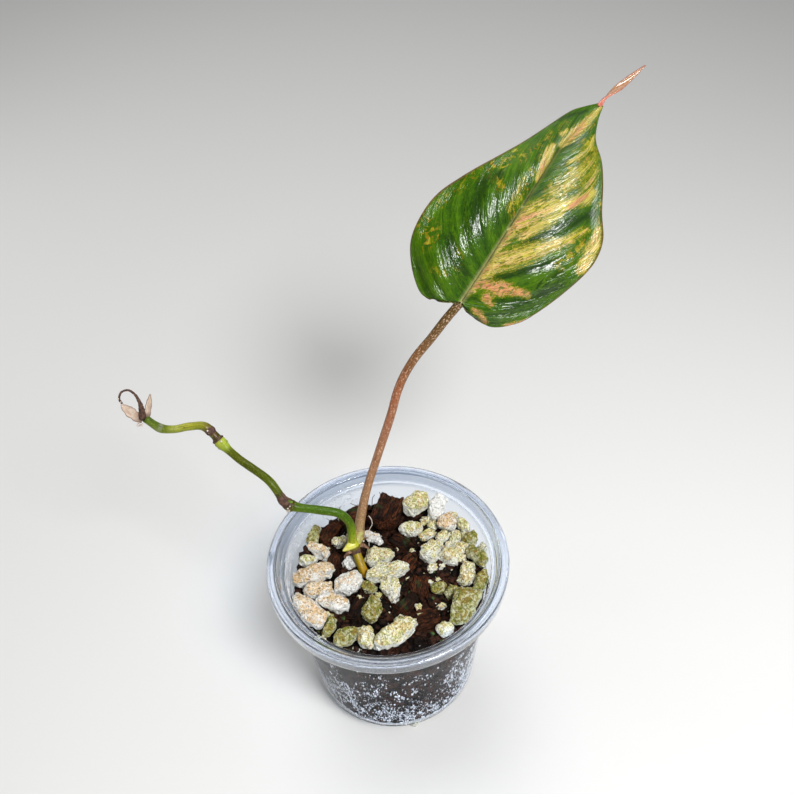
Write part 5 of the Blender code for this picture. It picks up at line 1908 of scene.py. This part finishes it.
@dataclass
class Vine:
    """The bare vine, from its buried stem to the end under the dry sheath."""

    points: tuple[Place, ...] = (
        (-5.0, -3.0, 44.0), (-6.0, -3.0, 52.0), (-7.6, -1.8, 60.0), (-9.6, 1.0, 66.5), (-11.6, 5.0, 70.8),
        (-13.6, 9.6, 75.0), (-13.8, 10.2, 80.5), (-14.2, 11.0, 87.6), (-18.0, 11.8, 92.9),
        (-26.0, 12.5, 95.0), (-34.4, 13.5, 96.4), (-38.9, 15.0, 98.8), (-44.3, 20.0, 105.6),
        (-55.7, 28.0, 110.1), (-62.4, 33.0, 114.4), (-64.9, 35.0, 117.2), (-68.5, 36.7, 120.6),
        (-74.3, 37.0, 120.7), (-80.0, 35.8, 120.9), (-84.6, 34.2, 123.6), (-88.2, 33.0, 130.0))
    radius: float = 1.85
    tip_radius: float = 1.5
    nodes: tuple[tuple[Place, float], ...] = (
        ((-13.6, 9.6, 75.0), 0.75), ((-36.5, 14.0, 97.5), 0.6), ((-62.4, 33.0, 114.4), 0.75),
        ((-67.5, 36.3, 120.0), 0.35), ((-84.6, 34.2, 123.6), 0.25))
    scabs: tuple[tuple[float, float, float, float], ...] = (
        (-37.4, 12.2, 97.6, 0.55), (-36.9, 11.8, 96.6, 0.6), (-37.6, 12.0, 95.9, 0.5),
        (-38.4, 12.7, 97.0, 0.45), (-36.4, 12.3, 98.4, 0.4), (-38.9, 13.2, 96.6, 0.35),
        (-64.6, 33.0, 114.6, 0.5), (-64.9, 33.6, 113.4, 0.5), (-63.2, 32.2, 116.0, 0.4),
        (-61.9, 31.8, 116.6, 0.4), (-64.2, 33.0, 112.6, 0.35), (-66.8, 34.3, 120.4, 0.35),
        (-66.4, 34.1, 119.2, 0.3), (-90.8, 31.2, 128.8, 0.75), (-89.6, 31.4, 128.4, 0.5),
        (-12.0, 11.9, 74.2, 0.6), (-11.2, 10.4, 73.6, 0.5), (-94.9, 32.5, 139.6, 0.35),
        (-94.8, 32.3, 138.6, 0.4), (-95.5, 32.9, 141.0, 0.3))
    collars: tuple[tuple[Place, float, float, float], ...] = (
        ((-38.6, 15.0, 98.6), -3.0, 3.4, 0.22), ((-66.3, 35.8, 119.0), -1.8, 1.4, 0.16),
        ((-63.6, 34.0, 115.7), -0.5, 0.6, 0.3), ((-12.6, 7.4, 73.0), -1.0, 1.0, 0.25))
    stub: tuple[Place, ...] = ((-13.4, 9.4, 76.2), (-15.2, 8.2, 76.2), (-16.8, 7.2, 75.8), (-18.0, 6.6, 75.6))
    spur: tuple[Place, ...] = ((-35.6, 13.9, 98.0), (-36.2, 13.6, 99.4), (-37.0, 13.3, 100.8))
    seed: int = 21
    reach: float = 2.6
    step: float = 0.6
    sides: int = 28

    def path(self) -> list[Vector]:
        """The centre line."""
        return smooth_path(self.points, self.step)

    def base_radius(self, point: Vector, share: float) -> float:
        """The plain radius on the centre line, swollen at the nodes.

        Args:
            point: the place on the line.
            share: how far along the vine it is, from 0 to 1.

        Returns:
            The radius.
        """
        radius = self.radius + (self.tip_radius - self.radius) * share
        for centre, swell in self.nodes:
            radius += swell * math.exp(-((point - Vector(centre)).length / self.reach) ** 2)
        return radius

    def build(self, finish: Material) -> None:
        """Makes the vine and dresses it.

        Args:
            finish: the material.
        """
        path = self.path()
        last = len(path) - 1

        def radius(i: int, angle: float) -> float:
            """The radius with faint ridges and the rings of the nodes.

            Args:
                i: the ring's number.
                angle: the angle, in radians.

            Returns:
                The radius.
            """
            plain = self.base_radius(path[i], i / last)
            round_it = Vector((math.cos(angle), math.sin(angle), i * 0.12))
            ridge = 0.05 * math.sin(5 * angle + 0.02 * i) + 0.07 * noise.noise(round_it)
            ring = sum(0.22 * math.exp(-(((path[i] - Vector(c)).length - 0.9) / 0.35) ** 2)
                       for c, _ in self.nodes[:3])
            return plain + ridge + ring

        put_tube("vine_stem", path, radius, self.sides, finish, "vine_green", ["vine"])

    def build_collars(self, finish: Material, scab: Material) -> None:
        """Makes the brown scars and dry scraps at the nodes.

        Args:
            finish: the brown papery finish.
            scab: the finish of the pale scabs.
        """
        path = self.path()
        rng = random.Random(self.seed)
        heap = Gathering(1)
        for centre, low, high, lift in self.collars:
            nearest = min(range(len(path)), key=lambda i: (path[i] - Vector(centre)).length)
            part = path[nearest + round(low / self.step):nearest + round(high / self.step) + 1]
            fine = smooth_path(part, 0.3)
            seed = rng.uniform(0, 50)
            radii = [self.base_radius(p, 0.5) + lift for p in fine]

            def ragged(i: int, angle: float) -> float:
                """A radius that dips under the stem in places, so the scrap looks torn."""
                torn = noise.noise(Vector((math.cos(angle) * 1.6, math.sin(angle) * 1.6, i * 0.22 + seed)))
                end = min(i, len(fine) - 1 - i) / max(1, len(fine) - 1)
                return radii[i] + 0.30 * torn - 0.45 * max(0.0, 0.28 - end) * 3.0

            add_tube(heap.open(), fine, ragged, self.sides)
        put_piece("node_scars", heap.close(), finish, "dry_brown")
        bm = bmesh.new()
        for x, y, z, size in self.scabs:
            made = bmesh.ops.create_icosphere(bm, subdivisions=2, radius=1.0)["verts"]
            for vert in made:
                rough = 1.0 + 0.5 * noise.noise(vert.co * 2.0 + Vector((x, y, z)))
                vert.co = Vector((x, y, z)) + vert.co * size * rough
        put_piece("node_scabs", bm, scab, "dry_paper")

    def build_stub(self, finish: Material) -> None:
        """Makes the bright pointed stub at the base node."""
        path = smooth_path(self.stub, 0.3)
        last = len(path) - 1
        put_tube("base_stub", path, lambda i, a: 1.75 * (1.0 - (i / last) ** 1.7) ** 0.8 + 0.12, 16, finish,
                 "vine_green")

    def build_spur(self, finish: Material) -> None:
        """Makes the small green spur above the first node."""
        path = smooth_path(self.spur, 0.2)
        last = len(path) - 1
        put_tube("node_spur", path, lambda i, a: 0.85 * (1.0 - i / last) ** 0.8 + 0.08, 12, finish,
                 "vine_green")


@dataclass
class Petiole:
    """The leaf stalk and the hair root beside it."""

    points: tuple[Place, ...] = (
        (-11.2, 13.3, 77.0), (-10.4, 14.4, 83.0), (-8.3, 16.0, 92.8), (-5.2, 18.5, 103.4),
        (-1.6, 21.5, 112.9), (1.9, 24.5, 122.1), (5.0, 27.5, 130.1), (7.6, 30.5, 137.8), (10.8, 33.0, 144.3),
        (15.3, 35.5, 150.6), (21.2, 38.4, 156.4), (26.6, 41.5, 161.9), (31.9, 44.0, 167.0))
    base_radius: float = 2.1
    radius: float = 1.6
    widening: float = 25.0
    step: float = 0.8
    sides: int = 28
    foot: tuple[Place, ...] = (
        (-13.2, 10.4, 74.6), (-12.4, 11.6, 76.2), (-11.4, 12.9, 77.6), (-10.9, 13.7, 79.4))
    hair: tuple[Place, ...] = (
        (-6.6, 13.6, 88.2), (-5.6, 13.4, 85.8), (-5.6, 13.2, 83.0), (-6.8, 13.0, 80.2), (-7.2, 12.6, 77.6),
        (-7.4, 12.0, 75.0), (-7.6, 11.6, 71.0))
    hair_radius: float = 0.16
    scrap_thickness: float = 0.2
    scraps: tuple[tuple[float, float, float, float, float, float, float], ...] = (
        (-11.4, 9.8, 74.6, 4.2, 2.6, -20.0, 10.0), (-11.0, 10.8, 75.6, 3.4, 2.0, 15.0, -15.0),
        (-12.2, 8.4, 73.6, 3.6, 2.2, -70.0, 20.0), (-14.6, 7.6, 73.6, 3.8, 2.2, 215.0, 15.0),
        (-15.4, 9.0, 73.8, 3.2, 2.0, 170.0, 25.0), (-10.6, 11.6, 77.0, 2.4, 1.6, 30.0, -40.0))

    def build(self, finish: Material) -> None:
        """Makes the stalk and dresses it.

        Args:
            finish: the material.
        """
        path = smooth_path(self.points, self.step)

        def radius(i: int, angle: float) -> float:
            """The radius, wider towards the base, with faint ribs.

            Args:
                i: the ring's number.
                angle: the angle, in radians.

            Returns:
                The radius.
            """
            wide = max(0.0, 1.0 - i * self.step / self.widening)
            plain = self.radius + (self.base_radius - self.radius) * wide
            rib = 0.05 * math.sin(9 * angle)
            rib += 0.07 * noise.noise(Vector((math.cos(angle), math.sin(angle), i * 0.08)))
            return plain + rib

        put_tube("leaf_stalk", path, radius, self.sides, finish, "petiole_brown", ["petiole"])

    def build_foot(self, finish: Material, scrap: Material) -> None:
        """Makes the swollen foot on the base node and the dry scraps round it.

        Args:
            finish: the foot's finish.
            scrap: the finish of the scraps.
        """
        path = smooth_path(self.foot, 0.3)
        last = len(path) - 1
        put_tube("stalk_foot", path, lambda i, a: 2.25 + 0.35 * math.sin(math.pi * i / last)
                 + 0.2 * noise.noise(Vector((math.cos(a) * 1.5, math.sin(a) * 1.5, i * 0.3))), 24, finish,
                 "petiole_brown")
        heap = Gathering(1)
        for number, (x, y, z, length, width, turn, tilt) in enumerate(self.scraps):
            turned = Matrix.Rotation(math.radians(turn), 3, "Z") @ Matrix.Rotation(math.radians(tilt), 3, "Y")

            def place(across: float, along: float) -> Vector:
                """A point of a curled scrap."""
                side = (across - 0.5) * width * (1.0 - 0.7 * along)
                curl = 0.5 * math.sin(math.pi * along) + 0.9 * side * side / width
                rough = 0.25 * noise.noise(Vector((side, along * 3.0, number * 7.0)))
                return Vector((x, y, z)) + turned @ Vector((along * length, side, curl + rough))

            add_sheet(heap.open(), 6, 10, place)
        piece = put_piece("base_scraps", heap.close(), scrap, "dry_brown")
        thicken(piece, self.scrap_thickness)
        bake_modifiers(piece)

    def build_hair(self, finish: Material) -> None:
        """Makes the fine white root beside the stalk's foot."""
        put_tube("hair_root", smooth_path(self.hair, 0.5), lambda i, a: self.hair_radius, 8, finish,
                 "root_tan")


@dataclass
class DryTip:
    """The papery sheath on the vine's end and the withered shoot curled out of it."""

    flaps: tuple[tuple[Place, ...], ...] = (
        ((-89.3, 32.7, 129.6), (-90.4, 32.1, 131.4), (-91.3, 31.3, 134.0), (-92.4, 30.5, 137.2),
         (-93.6, 30.0, 140.2)),
        ((-88.2, 33.0, 129.8), (-87.2, 33.3, 131.8), (-86.4, 34.0, 134.2), (-85.4, 34.9, 136.8),
         (-84.5, 35.8, 139.8)))
    widths: tuple[tuple[float, ...], ...] = ((2.4, 3.4, 3.9, 3.4, 1.3), (1.9, 2.3, 2.3, 1.7, 0.3))
    facing: Place = (0.35, -0.75, 0.55)
    flap_thickness: float = 0.22
    shoot: tuple[Place, ...] = (
        (-89.0, 32.8, 131.0), (-88.6, 32.9, 134.2), (-88.3, 33.1, 137.4), (-89.2, 34.0, 141.2),
        (-91.4, 34.6, 143.4), (-94.2, 34.2, 142.9), (-95.3, 33.2, 140.6), (-94.6, 32.6, 138.8))

    def build(self, paper: Material, brown: Material) -> None:
        """Makes the sheath and the shoot and dresses them.

        Args:
            paper: the sheath's finish.
            brown: the shoot's finish.
        """
        bm = bmesh.new()
        facing = Vector(self.facing).normalized()
        for number, (points, spans) in enumerate(zip(self.flaps, self.widths)):
            path = smooth_path(points, 0.35)
            last = len(path) - 1

            def place(across: float, along: float) -> Vector:
                """The flap's surface point: cupped across, with a ragged edge.

                Args:
                    across: the share across the sheet.
                    along: the share along the sheet.

                Returns:
                    The point.
                """
                i = round(along * last)
                width = float(np.interp(along * (len(spans) - 1), range(len(spans)), spans))
                ahead = (path[min(i + 1, last)] - path[max(i - 1, 0)]).normalized()
                side = ahead.cross(facing).normalized()
                off = 2 * across - 1
                ragged = 1.0 + 0.30 * noise.noise(Vector((along * 6.0, off * 2.0, number * 9.0 + 4.0)))
                cup = 0.75 * (1 - off * off) * (1.0 - 0.4 * along)
                crease = 0.10 * math.sin(off * 14.0) * along
                return path[i] + side * off * width / 2 * ragged - facing * (cup + crease)

            add_sheet(bm, 14, last, place)
        bmesh.ops.recalc_face_normals(bm, faces=bm.faces)
        sheath = put_piece("dry_sheath", bm, paper, "dry_paper", ["tip_sheath"])
        thicken(sheath, self.flap_thickness, 0.0)
        bake_modifiers(sheath)
        path = smooth_path(self.shoot, 0.25)
        last = len(path) - 1
        put_tube("curled_shoot", path, lambda i, a: (0.40 + 0.95 * math.exp(-(3.2 * i / last) ** 2))
                 * (1 + 0.30 * noise.noise(Vector((math.cos(a), math.sin(a), i * 0.3)))), 14, brown,
                 "dry_brown", ["withered_shoot"])


# The studio.


@dataclass
class Studio:
    """The pale floor, the lamps and the camera."""

    floor_size: float = 6.0
    floor_colour: Colour = (0.72, 0.72, 0.71)
    sky: float = 0.15
    camera_mm: Place = (7.5, -188.4, 337.7)
    tilt_deg: float = 42.7
    roll_deg: float = -3.45
    focal_share: float = 800 / 794

    def build_floor(self, groups: SharedGroups) -> None:
        """Makes the plain floor.

        Args:
            groups: the shared groups.
        """
        bm = bmesh.new()
        bmesh.ops.create_grid(bm, x_segments=1, y_segments=1, size=self.floor_size / 2)
        finish = Finish("pale_floor", groups)
        finish.set(Base_Color=self.floor_colour, Roughness=0.85)
        floor = place_object("floor", free_into_mesh(bm, "floor"))
        floor.data.materials.append(finish.material)

    def add_lamp(self, name: str, place: Place, target: Place, size: float, power: float) -> None:
        """Adds a soft round lamp.

        Args:
            name: the lamp's name.
            place: where it is, in metres.
            target: the point that it is aimed at.
            size: its diameter in metres.
            power: its power in watts.
        """
        lamp = bpy.data.lights.new(name, "AREA")
        lamp.shape = "DISK"
        lamp.size = size
        lamp.energy = power
        holder = place_object(name, lamp)
        holder.location = place
        holder.rotation_euler = (Vector(target) - Vector(place)).to_track_quat("-Z", "Y").to_euler()

    def build(self, groups: SharedGroups) -> None:
        """Makes the floor, the world, the lamps and the camera.

        Args:
            groups: the shared groups.
        """
        self.build_floor(groups)
        world = bpy.data.worlds.new("studio")
        world.use_nodes = True
        sky = world.node_tree.nodes["Background"]
        sky.inputs["Color"].default_value = (1.0, 1.0, 1.0, 1.0)
        sky.inputs["Strength"].default_value = self.sky
        bpy.context.scene.world = world
        self.add_lamp("key", (0.25, -0.33, 0.63), (0.02, 0.03, 0.08), 0.24, 5.5)
        self.add_lamp("overhead", (-0.25, 0.70, 1.50), (0.0, 0.1, 0.0), 1.20, 11.0)
        self.add_lamp("rim", (-0.70, 0.35, 0.30), (0.0, 0.0, 0.08), 0.25, 0.7)
        scene = bpy.context.scene
        scene.view_settings.view_transform = "Standard"
        tilt = math.radians(self.tilt_deg)
        roll = math.radians(self.roll_deg)
        ahead = Vector((0.0, math.cos(tilt), -math.sin(tilt)))
        level = Vector((1.0, 0.0, 0.0))
        above = level.cross(ahead)
        right = math.cos(roll) * level + math.sin(roll) * above
        up = -math.sin(roll) * level + math.cos(roll) * above
        camera = bpy.data.cameras.new("photo_view")
        camera.sensor_width = 36.0
        camera.lens = 36.0 * self.focal_share
        camera.clip_start = 0.01
        holder = place_object("photo_view", camera)
        holder.matrix_world = Matrix((right, up, -ahead)).transposed().to_4x4()
        holder.location = Vector(self.camera_mm) * MM
        scene.camera = holder


VINE_STOPS = (
    (0.00, (0.30, 0.19, 0.02)), (0.17, (0.36, 0.19, 0.006)), (0.22, (0.32, 0.23, 0.006)),
    (0.24, (0.10, 0.06, 0.02)), (0.25, (0.46, 0.46, 0.03)), (0.275, (0.52, 0.54, 0.04)),
    (0.30, (0.22, 0.33, 0.01)), (0.34, (0.050, 0.12, 0.003)), (0.42, (0.042, 0.105, 0.003)),
    (0.49, (0.065, 0.14, 0.004)), (0.508, (0.05, 0.022, 0.010)), (0.55, (0.035, 0.018, 0.008)),
    (0.57, (0.085, 0.12, 0.003)), (0.65, (0.060, 0.070, 0.002)), (0.73, (0.085, 0.10, 0.003)),
    (0.748, (0.30, 0.38, 0.03)), (0.772, (0.40, 0.46, 0.06)), (0.782, (0.05, 0.03, 0.01)),
    (0.80, (0.11, 0.055, 0.018)), (0.822, (0.13, 0.08, 0.02)), (0.835, (0.24, 0.24, 0.015)),
    (0.87, (0.34, 0.33, 0.03)), (0.91, (0.30, 0.32, 0.04)), (0.945, (0.10, 0.14, 0.01)),
    (0.956, (0.25, 0.26, 0.18)), (0.966, (0.08, 0.13, 0.01)), (1.0, (0.09, 0.15, 0.015)))
PETIOLE_STOPS = (
    (0.0, (0.50, 0.50, 0.20)), (0.045, (0.50, 0.34, 0.16)), (0.12, (0.44, 0.25, 0.12)),
    (0.30, (0.36, 0.18, 0.09)), (0.48, (0.31, 0.125, 0.065)), (0.62, (0.31, 0.105, 0.045)),
    (0.74, (0.20, 0.085, 0.03)), (0.86, (0.105, 0.055, 0.012)), (1.0, (0.085, 0.052, 0.008)))


def build_finishes(groups: SharedGroups) -> dict[str, Material]:
    """Builds every material.

    Args:
        groups: the shared groups.

    Returns:
        The materials by a short name.
    """
    recipes = {
        "plastic": ClearPlastic(),
        "perlite_white": PerliteFinish("white_perlite", (0.97, 0.98, 0.95), (0.92, 0.70, 0.44),
                                       (0.62, 0.34, 0.13), (0.72, 0.54, 0.28), 0.36),
        "perlite_cream": PerliteFinish("cream_perlite", (0.97, 0.98, 0.90), (0.90, 0.83, 0.44),
                                       (0.48, 0.25, 0.05), (0.34, 0.39, 0.06), 0.30),
        "perlite_mossy": PerliteFinish("mossy_perlite", (0.76, 0.77, 0.54), (0.37, 0.35, 0.08),
                                       (0.28, 0.13, 0.025), (0.07, 0.11, 0.010), 0.18),
        "husk": HuskFinish(),
        "mix": MixFinish(),
        "vine": StalkFinish("vine_skin", VINE_STOPS, (0.19, 0.25, 0.008), 0.5, (0.30, 0.38, 0.06), 0.35,
                            (0.035, 0.06, 0.004), (0.04, 0.035, 0.008), 147.0, 0.30),
        "petiole": StalkFinish("stalk_skin", PETIOLE_STOPS, (0.20, 0.10, 0.035), 0.35, (0.74, 0.50, 0.34),
                               0.7, (0.12, 0.05, 0.028), (0.06, 0.026, 0.014), 108.0, 0.45),
        "leaf": LeafFinish(),
        "paper": SheathFinish(),
        "brown": PlainFinish("dry_brown_skin", (0.045, 0.018, 0.011), (0.13, 0.065, 0.04), 900.0, 0.75),
        "scab": PlainFinish("pale_scab", (0.78, 0.72, 0.66), (0.45, 0.32, 0.26), 1200.0, 0.8),
        "stub": PlainFinish("bright_shoot", (0.62, 0.62, 0.06), (0.78, 0.72, 0.22), 500.0, 0.35),
        "spur": PlainFinish("green_spur", (0.08, 0.16, 0.01), (0.16, 0.25, 0.02), 500.0, 0.4),
        "foot": PlainFinish("pale_foot", (0.46, 0.46, 0.14), (0.34, 0.22, 0.09), 350.0, 0.45),
        "scrap": PlainFinish("brown_scraps", (0.10, 0.04, 0.02), (0.38, 0.24, 0.14), 700.0, 0.7),
        "root": PlainFinish("fine_root", (0.72, 0.62, 0.52), (0.85, 0.80, 0.74), 700.0, 0.6),
        "moss": PlainFinish("dark_moss", (0.02, 0.05, 0.012), (0.06, 0.11, 0.02), 900.0, 0.9),
        "fleck": PlainFinish("wall_dust", (0.52, 0.53, 0.57), (0.97, 0.97, 0.98), 420.0, 0.3, 0.48),
    }
    return {name: recipe.build(groups) for name, recipe in recipes.items()}


def main() -> None:
    """Builds the studio and the plant in order."""
    logging.basicConfig(level=logging.INFO, format="%(message)s")
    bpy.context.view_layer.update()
    groups = SharedGroups()
    Studio().build(groups)
    finishes = build_finishes(groups)
    cup = GrowCup()
    cup.build(finishes["plastic"])
    mix = PottingMix(cup)
    mix.build(finishes["mix"])
    gravel = Gravel(cup, mix)
    gravel.build_lumps(finishes)
    gravel.build_chips(finishes["husk"])
    gravel.build_crumbs(finishes["perlite_cream"], finishes["moss"], finishes["mix"])
    gravel.build_fibres(finishes["husk"])
    gravel.build_wall_flecks(finishes["fleck"])
    vine = Vine()
    vine.build(finishes["vine"])
    vine.build_collars(finishes["brown"], finishes["scab"])
    vine.build_stub(finishes["stub"])
    vine.build_spur(finishes["spur"])
    petiole = Petiole()
    petiole.build(finishes["petiole"])
    petiole.build_foot(finishes["foot"], finishes["scrap"])
    petiole.build_hair(finishes["root"])
    DryTip().build(finishes["paper"], finishes["brown"])
    LeafBlade().build(finishes["leaf"])
    frame["nodes"]["roots"].data.materials.clear()
    frame["nodes"]["roots"].data.materials.append(finishes["root"])


if __name__ == "__main__":
    main()
